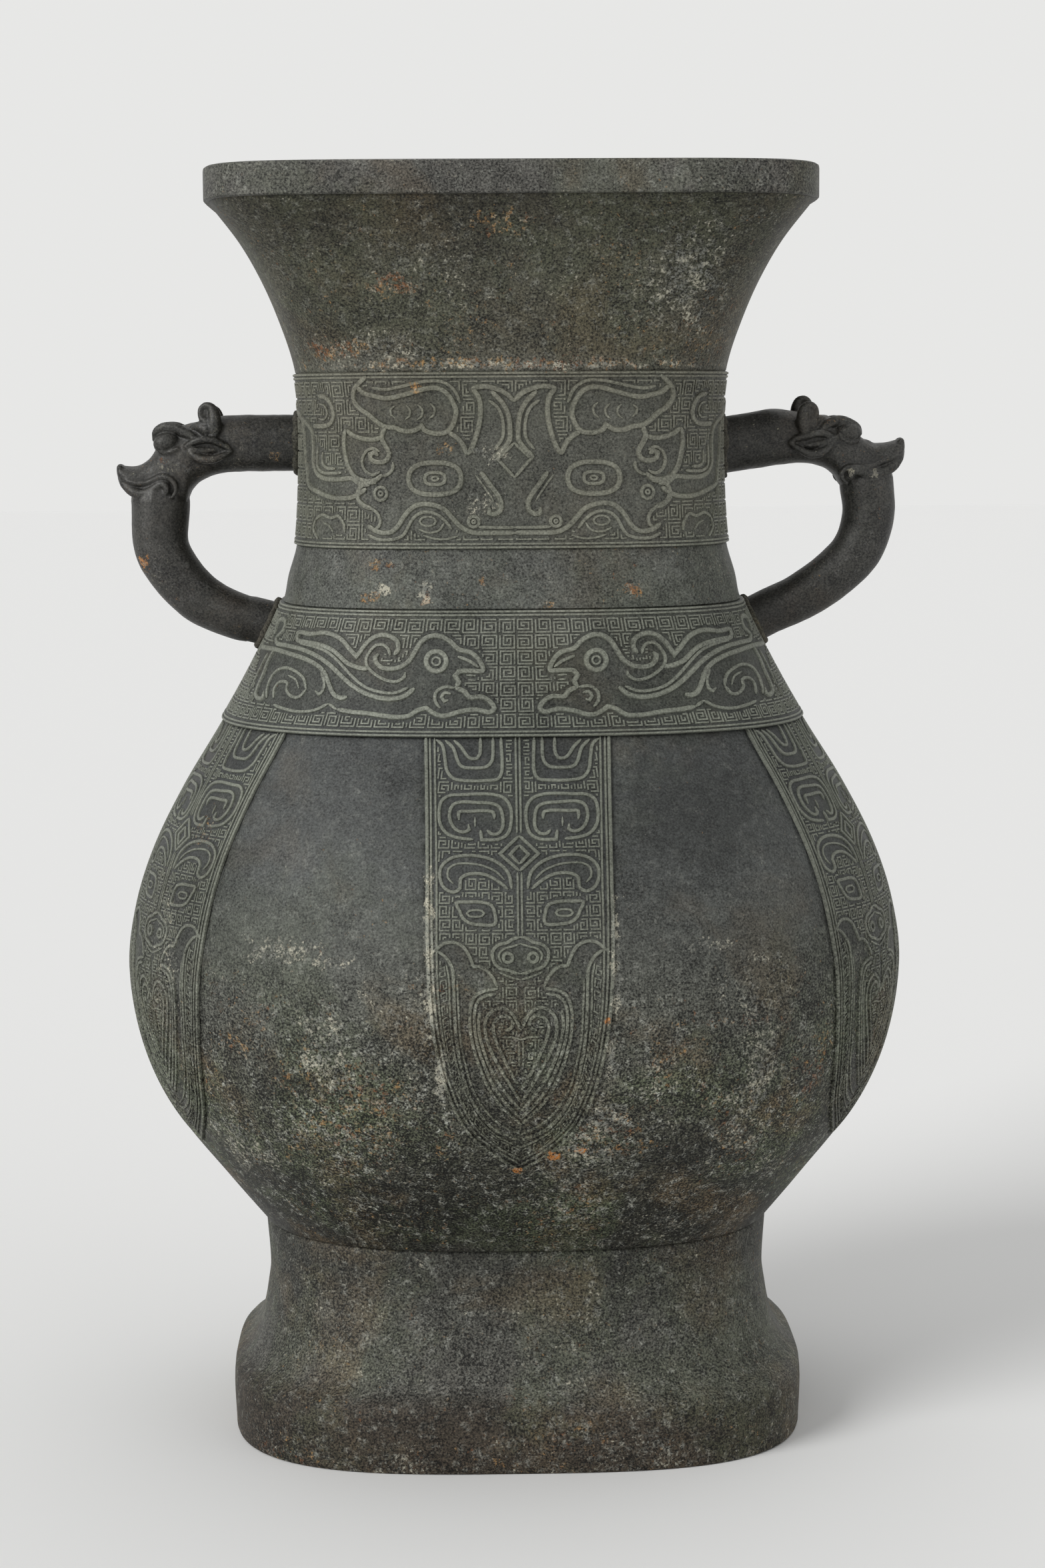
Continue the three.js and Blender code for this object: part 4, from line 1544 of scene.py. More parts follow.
@dataclass
class Castings:
    """The hollow castings: foot, lower belly, shoulder, neck and lip."""

    sizes: VesselSizes
    body: Outline
    foot: Outline
    ground: GroundLevels
    blade_edge: np.ndarray
    blade_place: float
    columns: int = 600
    outer_step: float = 1.4
    inner_step: float = 9.0
    seam_gap: float = 0.02
    blade_ramp: float = 1.2
    # How dark a blade's ground is marked: partly its darker colour, partly painted shade between the raised
    # lines.
    blade_shade: float = 0.8
    groove_depth: float = 0.45
    groove_reach: float = 1.0
    groove_ramp: float = 0.9
    crease: float = 38.0
    far: float = 1000.0
    groove_width: float = 1.25
    least_blade: float = 0.5

    def _levels(self, low: float, high: float, step: float) -> list[float]:
        """Even heights from one to another."""
        count = max(1, int(round(abs(high - low) / step)))
        return [low + (high - low) * k / count for k in range(count + 1)]

    def _shell(self, name: str, outline: Outline, section: Sequence[Pair]) -> Item:
        """Carries a closed section of height and lift round the plan.

        Args:
            name: Name of the piece.
            outline: The plans.
            section: Heights and lifts, up the outer face and down the inner one.

        Returns:
            The piece.
        """
        rows = len(section)
        all_heights = np.array([height for height, _ in section])
        all_lifts = np.array([lift for _, lift in section])
        dark: list[np.ndarray] = []

        def place(column: np.ndarray, row: np.ndarray) -> np.ndarray:
            """Finds the points of the wall.

            Args:
                column: Steps round the vessel.
                row: Steps along the section.

            Returns:
                Rows of x, y, z.
            """
            share = (column % self.columns) / self.columns * 4 - 2
            heights, lifts = all_heights[row % rows], all_lifts[row % rows]
            is_panel = lifts == self.ground.panel
            inside, groove = self._blades(share, heights)
            step = inside * (self.ground.blade - self.ground.panel) - groove * self.groove_depth
            # The ground attribute darkens the raised bands and the blades, for their darker ground and
            # painted shade between the raised lines, and paints shade in the groove along each blade's
            # edge.
            on_blade = np.maximum(inside * self.blade_shade, groove)
            dark.append(on_blade * is_panel + (lifts == self.ground.band))
            lifts = lifts + step * is_panel
            x, depth = outline.level_place(outline.turn(share, heights), heights, lifts)
            return np.stack([x, -depth, heights], axis=-1)

        item = rolled_grid(name, self.columns, rows, place)
        attribute = item.data.attributes.new("ground", "FLOAT", "POINT")
        attribute.data.foreach_set("value", dark[0])
        weld(item)
        soften(item, self.crease)
        return item

    def _blades(self, share: np.ndarray, z: np.ndarray) -> tuple[np.ndarray, np.ndarray]:
        """Whether each place lies on a blade, and in the groove along its edge.

        Args:
            share: Way round in quarters.
            z: Heights.

        Returns:
            Two shares from 0 to 1.
        """
        half = np.interp(z, self.blade_edge[0], self.blade_edge[1], left=0.0)
        place = self.blade_place
        gap = np.full_like(z, self.far)
        for centre in (0.0, place, -place, 2 - place, place - 2, 2.0):
            away = np.abs((share - centre + 2) % 4 - 2) * self.body.quarter(z)
            gap = np.minimum(gap, away - half)
        there = (half > self.least_blade) * (z < self.sizes.shoulder_band_bottom)
        inside = np.clip(0.5 - gap / self.blade_ramp, 0, 1) * there
        groove = self.groove_width - np.abs(gap - self.groove_reach) / self.groove_ramp
        return inside, np.clip(groove, 0, 1) * there

    def _band_section(self, low: float, high: float) -> list[Pair]:
        """The stepped section of a raised band, from its lower edge to its upper one."""
        heights = [low + 0.15, *self._levels(low + 1, high - 1, 3.0), high - 0.15]
        return [(z, self.ground.band) for z in heights]

    def build(self) -> dict[str, Item]:
        """Makes the castings.

        Returns:
            The pieces, by the names of the nodes that they stand for.
        """
        s = self.sizes
        seam = self.seam_gap
        inner = -s.wall
        panel = self.ground.panel
        foot, belly, neck, top = s.foot_height, s.belly_seam, s.neck_seam, s.neck_top
        proud = s.lip_proud
        found = {}
        found["lower_belly_casting"] = self._shell(
            "lower_belly", self.body,
            [(foot, -1.4), (foot + 0.5, -0.9)]
            + [(z, panel) for z in self._levels(foot + 1.4, belly - 0.5, self.outer_step)]
            + [(belly - seam, panel)]
            + [(z, inner) for z in self._levels(belly - seam, foot, self.inner_step)],
        )
        band = s.shoulder_band_bottom
        found["shoulder_casting"] = self._shell(
            "shoulder", self.body,
            [(belly + seam, panel)]
            + [(z, panel) for z in self._levels(belly + 0.5, band - 0.5, self.outer_step)]
            + [(band, panel - 0.3)]
            + self._band_section(band, neck)
            + [(neck - seam, -0.6)]
            + [(z, inner) for z in self._levels(neck - 0.05, belly + seam, self.inner_step)],
        )
        low, high = s.mask_band_bottom, s.mask_band_top
        found["neck_casting"] = self._shell(
            "neck", self.body,
            [(neck + seam, -0.6), (neck + 0.5, 0.0)]
            + [(z, 0.0) for z in self._levels(neck + 1.2, low - 0.6, self.outer_step)]
            + [(low, -0.25)]
            + self._band_section(low, high)
            + [(high, -0.25)]
            + [(z, 0.0) for z in self._levels(high + 0.6, top - 0.8, self.outer_step)]
            + [(top - seam, -0.4)]
            + [(z, inner) for z in self._levels(top - 0.05, neck + seam, self.inner_step)],
        )
        edge = proud - s.lip_breadth
        found["mouth_lip"] = self._shell(
            "lip", self.body,
            [(top + seam, 0.4), (top + 0.05, proud - 0.5), (top + 0.5, proud - 0.05)]
            + [(z, proud) for z in self._levels(top + 1.2, s.lip_top - 1.3, 2.4)]
            + [(s.lip_top - 0.45, proud - 0.15), (s.lip_top, proud - 0.8), (s.lip_top, proud - 2.6)]
            + [(s.lip_top, edge + 0.9), (s.lip_top - 0.35, edge + 0.2), (s.lip_top - 1.2, edge)]
            + [(top + 8.3, edge), (top + 5.3, inner), (top + seam, inner)],
        )
        rim = -s.foot_rim_breadth
        flange = -s.wall - s.flange_breadth
        found["foot_casting"] = self._shell(
            "foot", self.foot,
            [(0.0, -0.9), (0.4, -0.25), (1.2, 0.0)]
            + [(z, 0.0) for z in self._levels(3.0, s.foot_lip_height - 0.6, 3.5)]
            + [(s.foot_lip_height, -0.15), (s.foot_lip_height + 0.7, -0.55)]
            + [(z, -0.3) for z in self._levels(s.foot_lip_height + 2.0, foot - 2.6, self.outer_step)]
            + [(foot - 1.2, -0.5), (foot - 0.4, -1.1), (foot, -1.4)]
            + [(foot, flange), (foot - s.flange_thickness, flange)]
            + [(foot - 1.5 * s.flange_thickness - 3, inner)]
            + [(z, inner) for z in self._levels(s.foot_waist_height, s.foot_lip_height, self.inner_step)]
            + [(12.0, rim), (0.3, rim), (0.0, rim + 0.3)],
        )
        return found


@dataclass(frozen=True)
class HandleSetting:
    """How one handle was set.

    Attributes:
        side: Which handle.
        arm_rise: Height of the arm's root over the neck seam.
        tilt: Degrees that the head points up.
        roll: Degrees that the horns are turned to the front.
        drop: How much lower the brow lies than on the other head.
        eye_shift: How far forward and up the eye is moved.
        grin: How much further back the corner of the mouth lies.
        loop_top_radius: Radius of the loop under the jaw.
        root_angle: Degrees that the loop's root points down into the shoulder.
        bend: Shares of the fall from jaw to root, and of the reach from root to jaw.
    """

    side: Side
    arm_rise: float
    tilt: float
    roll: float
    drop: float
    eye_shift: Pair
    grin: float
    loop_top_radius: float
    root_angle: float
    bend: tuple[Pair, ...]


# Reach, top, bottom and half breadth of the head, with its arm, from the wall to the snout
HEAD_SECTIONS = (
    (-9.0, 10.8, -10.8, 10.8), (10.0, 10.8, -10.8, 10.8), (22.0, 10.8, -10.9, 10.8),
    (30.0, 10.4, -11.5, 10.8), (36.0, 8.8, -13.6, 11.0), (39.0, 8.2, -15.5, 11.0),
    (41.2, 7.8, -18.2, 11.0), (43.2, 7.3, -22.4, 10.9), (47.0, 6.2, -24.0, 10.6), (50.5, 4.2, -23.6, 9.8),
    (53.2, 0.6, -22.8, 8.8), (55.4, -3.2, -22.0, 8.0), (57.8, -6.2, -21.3, 7.6), (61.0, -8.0, -20.3, 7.4),
    (64.5, -8.5, -18.4, 7.0), (67.4, -8.2, -16.0, 6.3), (69.0, -7.9, -13.8, 5.4), (69.7, -8.4, -12.2, 3.8),
)

# How much of its drop a lower head takes at each reach
DROP_REACHES = (26, 31, 41.6, 45.4, 49.4, 52.5, 58, 62)
DROP_SHARES = (0, 0.42, 0.43, 0.65, 0.95, 1, 0.3, 0)


@dataclass
class Handle:
    """One handle: the dragon's head with its arm, the loop, and the solder round both roots."""

    setting: HandleSetting
    sizes: VesselSizes
    outline: Outline
    arm_radius: float = 10.8
    jaw_reach: float = 53.4
    jaw_drop: float = 22.2
    loop_root_radius: float = 8.8
    loop_root_drop: float = 9.5
    root_straight: float = 7.0
    burial: float = 2.2
    voxel: float = 0.46
    solder_voxel: float = 0.5
    sides: int = 44
    squareness: float = 2.25
    limb_step: float = 0.8
    loop_step: float = 1.5
    loop_burial: float = 3.5
    wall_steps: int = 40
    wall_step_share: float = 0.7
    collar_steps: int = 36
    upper_heap: float = 1.7
    lower_heap: float = 1.8
    collar_start: float = 12.0
    collar_set: float = 0.2
    jaw_height: float = -20.0
    drop_height: float = 14.0
    throat_heights: tuple[float, ...] = (-12.0, -17.0, -20.5, -30.0)
    throat_narrowing: tuple[float, ...] = (4.3, 1.3, 0.0, 0.0)
    lip_reaches: Pair = (52, 63)
    lip_sink: float = 0.3
    second_swell: Pair = (0.5, 2.7)
    collar_overlap: float = 0.25
    hollow_rounds: int = 16
    hollow_depth: float = 0.09
    hollow_darkest: float = 1.6
    head_swell: Pair = (0.14, 0.18)
    loop_swell: Pair = (0.2, 0.11)
    solder_swell: Pair = (0.35, 0.5)
    head_crease: float = 60.0
    loop_crease: float = 50.0
    solder_crease: float = 55.0

    def __post_init__(self) -> None:
        """Finds the two roots on the wall."""
        self.arm_root = self._root(self.sizes.neck_seam + self.setting.arm_rise)
        self.loop_root = self._root(self.sizes.neck_seam - self.loop_root_drop)
        self.turn = Matrix.Rotation(math.radians(-self.setting.tilt), 3, "Y")

    def _root(self, height: float) -> Vector:
        """The place on the raised bands' face at a height, at the middle of the side."""
        return Vector((float(self.outline.plan(height)[0]) + self.sizes.band_proud, 0, height))

    def _blob(self, centre: Sequence[float], half: Sequence[float], tip: float = 0.0) -> Item:
        """A ball in the head's own frame.

        Args:
            centre: Its middle.
            half: Its half sizes.
            tip: Degrees that its front points down.

        Returns:
            The ball.
        """
        deselect_all()
        bpy.ops.mesh.primitive_uv_sphere_add(segments=28, ring_count=16, radius=1.0)
        item = bpy.context.object
        item.scale = Vector(half) * MM
        item.rotation_euler = (0, math.radians(tip), 0)
        item.location = Vector(centre) * MM
        settle(item)
        return item

    def _limb(self, path: Sequence[Sequence[float]], radii: Sequence[float]) -> Item:
        """A round limb along a path, with its own radius at each point.

        Args:
            path: Points in millimetres.
            radii: Radius at each point.

        Returns:
            A closed mesh.
        """
        fine = smooth_path(np.array([[*p, r] for p, r in zip(path, radii)]), self.limb_step)
        data = bpy.data.curves.new("limb", "CURVE")
        data.dimensions = "3D"
        data.bevel_depth = 1.0 * MM
        data.bevel_resolution = 5
        data.use_fill_caps = True
        spline = data.splines.new("POLY")
        spline.points.add(len(fine) - 1)
        for point, (x, y, z, radius) in zip(spline.points, fine):
            point.co = (x * MM, y * MM, z * MM, 1.0)
            point.radius = radius
        item = bpy.data.objects.new("limb", data)
        bpy.context.scene.collection.objects.link(item)
        make_active(item)
        bpy.ops.object.convert(target="MESH")
        item = bpy.context.object
        ends = [self._blob(path[k], (radii[k],) * 3) for k in (0, -1)]
        return join("limb", [item, *ends])

    def _settled(self, place: Sequence[float], way: float, roll: float = 0.0) -> tuple[float, float, float]:
        """Takes a point of the face to its cheek, with the drop of this head.

        Args:
            place: The point on the far cheek.
            way: 1 for the far cheek, -1 for the near one.
            roll: Degrees that it is turned about the head's axis.

        Returns:
            The point.
        """
        x, y, z = place
        c, s = math.cos(math.radians(roll)), math.sin(math.radians(roll))
        above_jaw = float(np.clip((z - self.jaw_height) / self.drop_height, 0, 1))
        y, z = y * way, z - self._drop(x) * above_jaw
        return x, y * c - z * s, z * c + y * s

    def _drop(self, reach: float) -> float:
        """How much lower this brow lies at a reach."""
        return self.setting.drop * float(np.interp(reach, DROP_REACHES, DROP_SHARES))

    def _moved(self, place: Sequence[float], ahead: float, up: float) -> tuple[float, float, float]:
        """Moves a place along the cheek, out or in with the breadth of the skull.

        Args:
            place: The place.
            ahead: How far toward the snout.
            up: How far up.

        Returns:
            The new place.
        """
        reaches, breadths = zip(*((section[0], section[3]) for section in HEAD_SECTIONS))
        x, y, z = place
        wider = float(np.interp(x + ahead, reaches, breadths) - np.interp(x, reaches, breadths))
        return x + ahead, y + wider, z + up

    def _both(
        self, path: Sequence[Sequence[float]], radii: Sequence[float], roll: float = 0.0
    ) -> list[Item]:
        """A limb on each cheek, given on the far one."""
        return [self._limb([self._settled(place, way, roll) for place in path], radii) for way in (1, -1)]

    def _both_blobs(
        self, centre: Sequence[float], half: Sequence[float], tip: float = 0.0
    ) -> list[Item]:
        """A ball on each cheek."""
        return [self._blob(self._settled(centre, way), half, tip) for way in (1, -1)]

    def _skull(self) -> Item:
        """The arm, skull and snout: oval sections carried along the head.

        Returns:
            A closed mesh.
        """
        sections = np.array(HEAD_SECTIONS)
        sections[:, 1] -= [self._drop(reach) for reach in sections[:, 0]]
        course = smooth_path(sections, 1.0)
        ends = [course[:1] * (1, 0, 0, 0), course, course[-1:] * (1, 0, 0, 0)]
        ends[0][:, 1:3] = 0.0
        ends[2][:, 1:3] = course[-1, 1:3].mean()
        course = np.concatenate(ends)

        def place(column: np.ndarray, row: np.ndarray) -> np.ndarray:
            """Finds the points of an oval section.

            Args:
                column: Steps round the head.
                row: Steps along it.

            Returns:
                Rows of x, y, z.
            """
            angle = 2 * math.pi * column / self.sides
            reach, top, bottom, breadth = course[row].T
            c, s = np.cos(angle), np.sin(angle)
            full = (np.abs(c) ** self.squareness + np.abs(s) ** self.squareness) ** (-1 / self.squareness)
            height = (top + bottom) / 2 + (top - bottom) / 2 * s * full
            return np.stack([reach, breadth * c * full, height], axis=-1)

        item = rolled_grid("skull", self.sides, len(course) - 1, place)
        weld(item)
        return item

    def _horns(self) -> list[Item]:
        """A broad horn on each side, curled forward into a ring, with a web that fills its root.

        Returns:
            The limbs.
        """
        roll = self.setting.roll
        parts = self._both(
            [(31.6, 9.4, 1.8), (31.4, 9.9, 5.2), (31.3, 9.8, 8.4), (31.6, 9.6, 11.0), (32.5, 9.4, 13.1),
             (34.4, 9.3, 14.2), (36.3, 9.2, 13.1), (36.9, 9.2, 11.0), (36.0, 9.2, 9.0), (34.4, 9.0, 7.6)],
            [2.2, 2.6, 2.6, 2.3, 1.8, 1.35, 1.15, 1.15, 1.5, 2.1],
            roll,
        )
        parts += self._both([(34.6, 9.0, 9.6), (34.7, 9.1, 11.2), (34.6, 9.1, 12.4)], [1.2, 1.1, 0.9], roll)
        parts += self._both([(40.0, 6.4, 6.0), (37.2, 7.6, 6.4), (34.4, 8.8, 5.2)], [1.4, 2.2, 2.8])
        return parts

    def _face(self) -> list[Item]:
        """Eyes with their lids and brows, ears, the two lips and the nostrils.

        Returns:
            The limbs.
        """
        ahead, up = self.setting.eye_shift
        parts = self._both_blobs(self._moved((50.4, 8.1, 0.7), ahead, up), (4.9, 3.6, 3.4), 14.0)
        brow = [(55.0, 4.6, 1.4), (54.2, 6.4, 4.4), (51.4, 7.2, 6.2), (47.4, 7.8, 6.2), (43.6, 8.6, 4.7),
                (40.6, 9.6, 3.2), (38.4, 10.1, 2.2)]
        brow = [self._moved(place, ahead, 0.0) for place in brow]
        parts += self._both(brow, [0.8, 1.4, 1.9, 2.1, 1.9, 1.4, 0.9])
        lid = [(54.6, 7.0, -1.6), (52.2, 9.0, -3.0), (49.0, 9.9, -3.2), (45.6, 10.5, -1.6)]
        parts += self._both([self._moved(place, ahead, up) for place in lid], [0.4, 0.6, 0.65, 0.5])
        parts += self._both(
            [(42.6, 10.4, -1.2), (39.6, 11.3, 0.6), (36.0, 12.0, 1.6), (31.6, 12.1, 1.2),
             (28.0, 11.5, -0.6), (25.2, 10.9, -2.8), (28.0, 11.6, -4.6), (32.0, 12.1, -5.9),
             (36.0, 12.0, -6.0), (39.0, 11.4, -4.8), (41.0, 10.8, -3.0)],
            [0.9, 1.3, 1.4, 1.3, 1.1, 0.8, 1.2, 1.6, 1.7, 1.5, 1.1],
        )
        parts += self._both([(40.0, 10.6, -2.2), (36.0, 10.8, -2.6), (31.5, 10.7, -2.4)], [1.3, 1.2, 0.8])
        parts += self._lip(
            [(68.4, 2.0, -13.2), (66.8, 4.4, -15.4), (64.0, 5.9, -17.8), (60.8, 6.9, -19.0),
             (57.6, 7.7, -18.6), (54.8, 8.6, -16.9), (52.2, 9.5, -15.3), (50.4, 10.2, -15.9),
             (50.0, 10.4, -18.2)],
            [1.2, 1.6, 2.0, 2.1, 1.9, 1.7, 1.5, 1.4, 1.0],
        )
        parts += self._lip(
            [(68.8, 3.6, -11.4), (66.4, 5.8, -13.4), (63.4, 7.2, -14.7), (60.0, 7.9, -15.0),
             (57.0, 8.4, -14.4), (54.4, 9.1, -13.2), (51.6, 10.1, -12.4), (48.8, 10.7, -13.1),
             (46.8, 11.0, -15.4), (46.6, 11.0, -18.4), (48.2, 10.8, -20.4)],
            [0.8, 0.85, 0.9, 0.95, 0.95, 1.0, 1.05, 1.05, 1.0, 0.9, 0.7],
        )
        parts.append(self._limb([(68.4, -4.2, -9.0), (68.5, 0, -8.9), (68.4, 4.2, -9.0)], [1.2, 1.3, 1.2]))
        return parts

    def _lip(self, path: Sequence[Sequence[float]], radii: Sequence[float]) -> list[Item]:
        """A lip on each cheek, drawn back toward the corner of the mouth by this head's grin.

        Args:
            path: Its points on the far cheek.
            radii: Its radius at each point.

        Returns:
            The two lips.
        """
        back = [self.setting.grin * float(np.interp(place[0], self.lip_reaches, (1, 0))) for place in path]
        moved = [self._moved(place, -b, -self.lip_sink * b) for place, b in zip(path, back)]
        return self._both(moved, radii)

    def head(self) -> Item:
        """The dragon's head and its arm, modelled along +x and then set in place.

        Returns:
            The piece.
        """
        radii = [self.setting.loop_top_radius - less for less in self.throat_narrowing]
        throat = self._limb([(self.jaw_reach, 0, z) for z in self.throat_heights], radii)
        parts = [self._skull(), throat, *self._face(), *self._horns()]
        item = join(f"{self.setting.side.value}_head", parts)
        apply_modifier(item, "REMESH", mode="VOXEL", voxel_size=self.voxel * MM, adaptivity=0.0)
        apply_modifier(item, "SMOOTH", factor=0.5, iterations=5)
        make_active(item)
        bpy.ops.object.mode_set(mode="EDIT")
        for place, way in (((0, 0, -self.jaw_drop), (0, 0, 1)), ((-self.burial, 0, 0), (1, 0, 0))):
            bpy.ops.mesh.select_all(action="SELECT")
            bpy.ops.mesh.bisect(plane_co=Vector(place) * MM, plane_no=way, clear_inner=True, use_fill=True)
        bpy.ops.object.mode_set(mode="OBJECT")
        self._roughen(item, *self.head_swell)
        self._mark_shaded_hollows(item)
        item.matrix_world = Matrix.Translation(self.arm_root * MM) @ self.turn.to_4x4()
        settle(item)
        self._mirror(item)
        soften(item, self.head_crease)
        return item

    def _mirror(self, item: Item) -> None:
        """Takes a finished piece across to its own side.

        Args:
            item: The piece, as built on the +x side.
        """
        if self.setting.side is Side.LEFT:
            item.scale = (-1, 1, 1)
            settle(item)
            weld(item)

    def _mark_shaded_hollows(self, item: Item) -> None:
        """Marks the places that lie deeper than those around them, for painted shade and the darker patina
        there.

        Args:
            item: The piece.
        """
        mesh = item.data
        places, normals = _read_points(mesh)
        ends = np.empty(len(mesh.edges) * 2, int)
        mesh.edges.foreach_get("vertices", ends)
        here = np.concatenate([ends[::2], ends[1::2]])
        there = np.concatenate([ends[1::2], ends[::2]])
        total = len(places)
        neighbours = np.bincount(here, minlength=total)
        even = places
        for _ in range(self.hollow_rounds):
            sums = [np.bincount(here, column[there], total) for column in even.T]
            even = np.stack([column / neighbours for column in sums], axis=-1)
        depth = np.sum((even - places) * normals, axis=1) / MM
        attribute = mesh.attributes.new("ground", "FLOAT", "POINT")
        attribute.data.foreach_set("value", np.clip(depth / self.hollow_depth, 0, self.hollow_darkest))

    def _roughen(self, item: Item, depth: float, grain: float) -> None:
        """Moves the surface in and out a little, as a hand-finished casting is.

        Args:
            item: The piece.
            depth: How far, in millimetres.
            grain: How many swells there are to a millimetre.
        """
        places, normals = _read_points(item.data)
        spots = [Vector(p) for p in places / MM * grain]
        share, finer = self.second_swell
        swell = np.array([noise.noise(p) + share * noise.noise(p * finer) for p in spots])
        moved = places + normals * (swell * depth * MM)[:, None]
        item.data.vertices.foreach_set("co", moved.ravel())
        item.data.update()

    def _loop_course(self) -> np.ndarray:
        """Finds the loop's course from the jaw to the wall on the +x side.

        Returns:
            Rows of x, y, z and the radius.
        """
        s, root, end = self.setting, self.loop_root, self.loop_root_radius
        jaw = self.arm_root + self.turn @ Vector((self.jaw_reach, 0, -self.jaw_drop))
        inward = -self._root_way()
        points = [jaw]
        for fall, reach in s.bend:
            points.append(Vector((root.x + (jaw.x - root.x) * reach, 0, jaw.z + (root.z - jaw.z) * fall)))
        points.append(root - inward * self.root_straight)
        curve = smooth_path(np.array([list(p) for p in points]), self.loop_step)
        length = np.concatenate([[0.0], np.cumsum(np.linalg.norm(np.diff(curve, axis=0), axis=1))])
        radii = s.loop_top_radius + (end - s.loop_top_radius) * length / length[-1]
        buried = [list(root), list(root + inward * (self.burial + self.loop_burial))]
        return np.column_stack([np.vstack([curve, buried]), [*radii, end, end]])

    def _root_way(self) -> Vector:
        """The course of the loop's root, away from the wall."""
        angle = math.radians(self.setting.root_angle)
        return Vector((math.cos(angle), 0, math.sin(angle)))

    def loop(self) -> Item:
        """The loop from the jaw down to the shoulder: a circle carried along its course.

        Returns:
            The piece.
        """
        course = self._loop_course()
        ahead = np.gradient(course[:, :3], axis=0)
        ahead[0] = self.turn @ Vector((0, 0, -1))
        ahead /= np.linalg.norm(ahead, axis=1, keepdims=True)
        last = len(course) - 1

        def place(column: np.ndarray, row: np.ndarray) -> np.ndarray:
            """Finds the points of a round section.

            Args:
                column: Steps round the loop.
                row: Steps along it.

            Returns:
                Rows of x, y, z.
            """
            ring = np.clip(row - 1, 0, last)
            angle = 2 * math.pi * (column % self.sides) / self.sides
            c, s = np.cos(angle), np.sin(angle)
            is_end = (row == 0) | (row == last + 2)
            reach = np.where(is_end, 0.0, course[ring, 3])
            outward = np.stack([-ahead[ring, 2] * c, s, ahead[ring, 0] * c], axis=-1)
            return course[ring, :3] + outward * reach[:, None]

        item = rolled_grid(f"{self.setting.side.value}_loop", self.sides, last + 2, place)
        weld(item)
        self._roughen(item, *self.loop_swell)
        self._mirror(item)
        soften(item, self.loop_crease)
        return item

    def _wall_distance(self, point: np.ndarray, course: np.ndarray) -> float:
        """Finds how far away the wall's outer face is, by steps that grow shorter.

        Args:
            point: A place outside the wall.
            course: Unit vector toward the wall.

        Returns:
            The distance along the course.
        """
        distance = 0.0
        proud = self.sizes.band_proud
        for _ in range(self.wall_steps):
            x, y, z = point + course * distance
            half_width, half_depth, power = (float(v) for v in self.outline.plan(z))
            level = (abs(x) / (half_width + proud)) ** power + (abs(y) / (half_depth + proud)) ** power
            distance += (level ** (1 / power) - 1) * half_width * self.wall_step_share
        return distance

    def collar(self, name: str, root: Vector, outward: Vector, radius: float, heap: float) -> Item:
        """Rough solder run round a root where it meets the wall.

        Args:
            name: Name of the piece.
            root: Where the root's axis meets the wall.
            outward: The root's course away from the wall.
            radius: Radius of the root there.
            heap: Thickness of the solder.

        Returns:
            The piece.
        """
        out = np.array(outward)
        start = np.array(root) + out * self.collar_start
        reach = radius + heap * self.collar_overlap
        path, radii = [], []
        for k in range(self.collar_steps + 1):
            angle = 2 * math.pi * k / self.collar_steps
            c, s = math.cos(angle), math.sin(angle)
            ray = start + np.array([-out[2] * c, s, out[0] * c]) * reach
            path.append(ray - out * (self._wall_distance(ray, -out) - self.collar_set))
            swell = noise.noise(Vector((c * 2.4, s * 2.4, root.z * 0.1)))
            radii.append(heap * (0.8 + 0.45 * swell))
        radii[-1] = radii[0]
        item = self._limb(path, radii)
        apply_modifier(item, "REMESH", mode="VOXEL", voxel_size=self.solder_voxel * MM, adaptivity=0.0)
        apply_modifier(item, "SMOOTH", factor=0.5, iterations=3)
        self._roughen(item, *self.solder_swell)
        item.name = name
        item.data.name = name
        self._mirror(item)
        soften(item, self.solder_crease)
        return item

    def collars(self) -> dict[str, Item]:
        """The solder round the upper and the lower root.

        Returns:
            The pieces, by the names of the nodes that they stand for.
        """
        found = {}
        for end, root, way, radius, heap in (
            ("upper", self.arm_root, self.turn @ Vector((1, 0, 0)), self.arm_radius, self.upper_heap),
            ("lower", self.loop_root, self._root_way(), self.loop_root_radius, self.lower_heap),
        ):
            name = f"{self.setting.side.value}_{end}"
            found[f"{name}_collar"] = self.collar(f"{name}_solder", root, way, radius, heap)
        return found


def tint(red: int, green: int, blue: int) -> Colour:
    """Turns a colour's values on screen into the shader's.

    Args:
        red: From 0 to 255.
        green: From 0 to 255.
        blue: From 0 to 255.

    Returns:
        The colour.
    """
    shares = (red / 255, green / 255, blue / 255)
    return (*(c / 12.92 if c <= 0.04045 else ((c + 0.055) / 1.055) ** 2.4 for c in shares), 1.0)


@dataclass(frozen=True)
class Cloud:
    """A noise on the object's own coordinates.

    Attributes:
        scale: How fine it is, in swells to a metre.
        detail: How many finer layers lie on it.
        rough: How strong those layers are.
        lean: How far it is pulled about.
    """

    scale: float
    detail: float = 4.0
    rough: float = 0.55
    lean: float = 0.0


@dataclass(frozen=True)
class Veil:
    """Patches of one colour that follow a noise.

    Attributes:
        cloud: The noise.
        low: Its value where they start.
        high: Its value where they are full.
        amount: How dense they are there.
    """

    cloud: Cloud
    low: float
    high: float
    amount: float


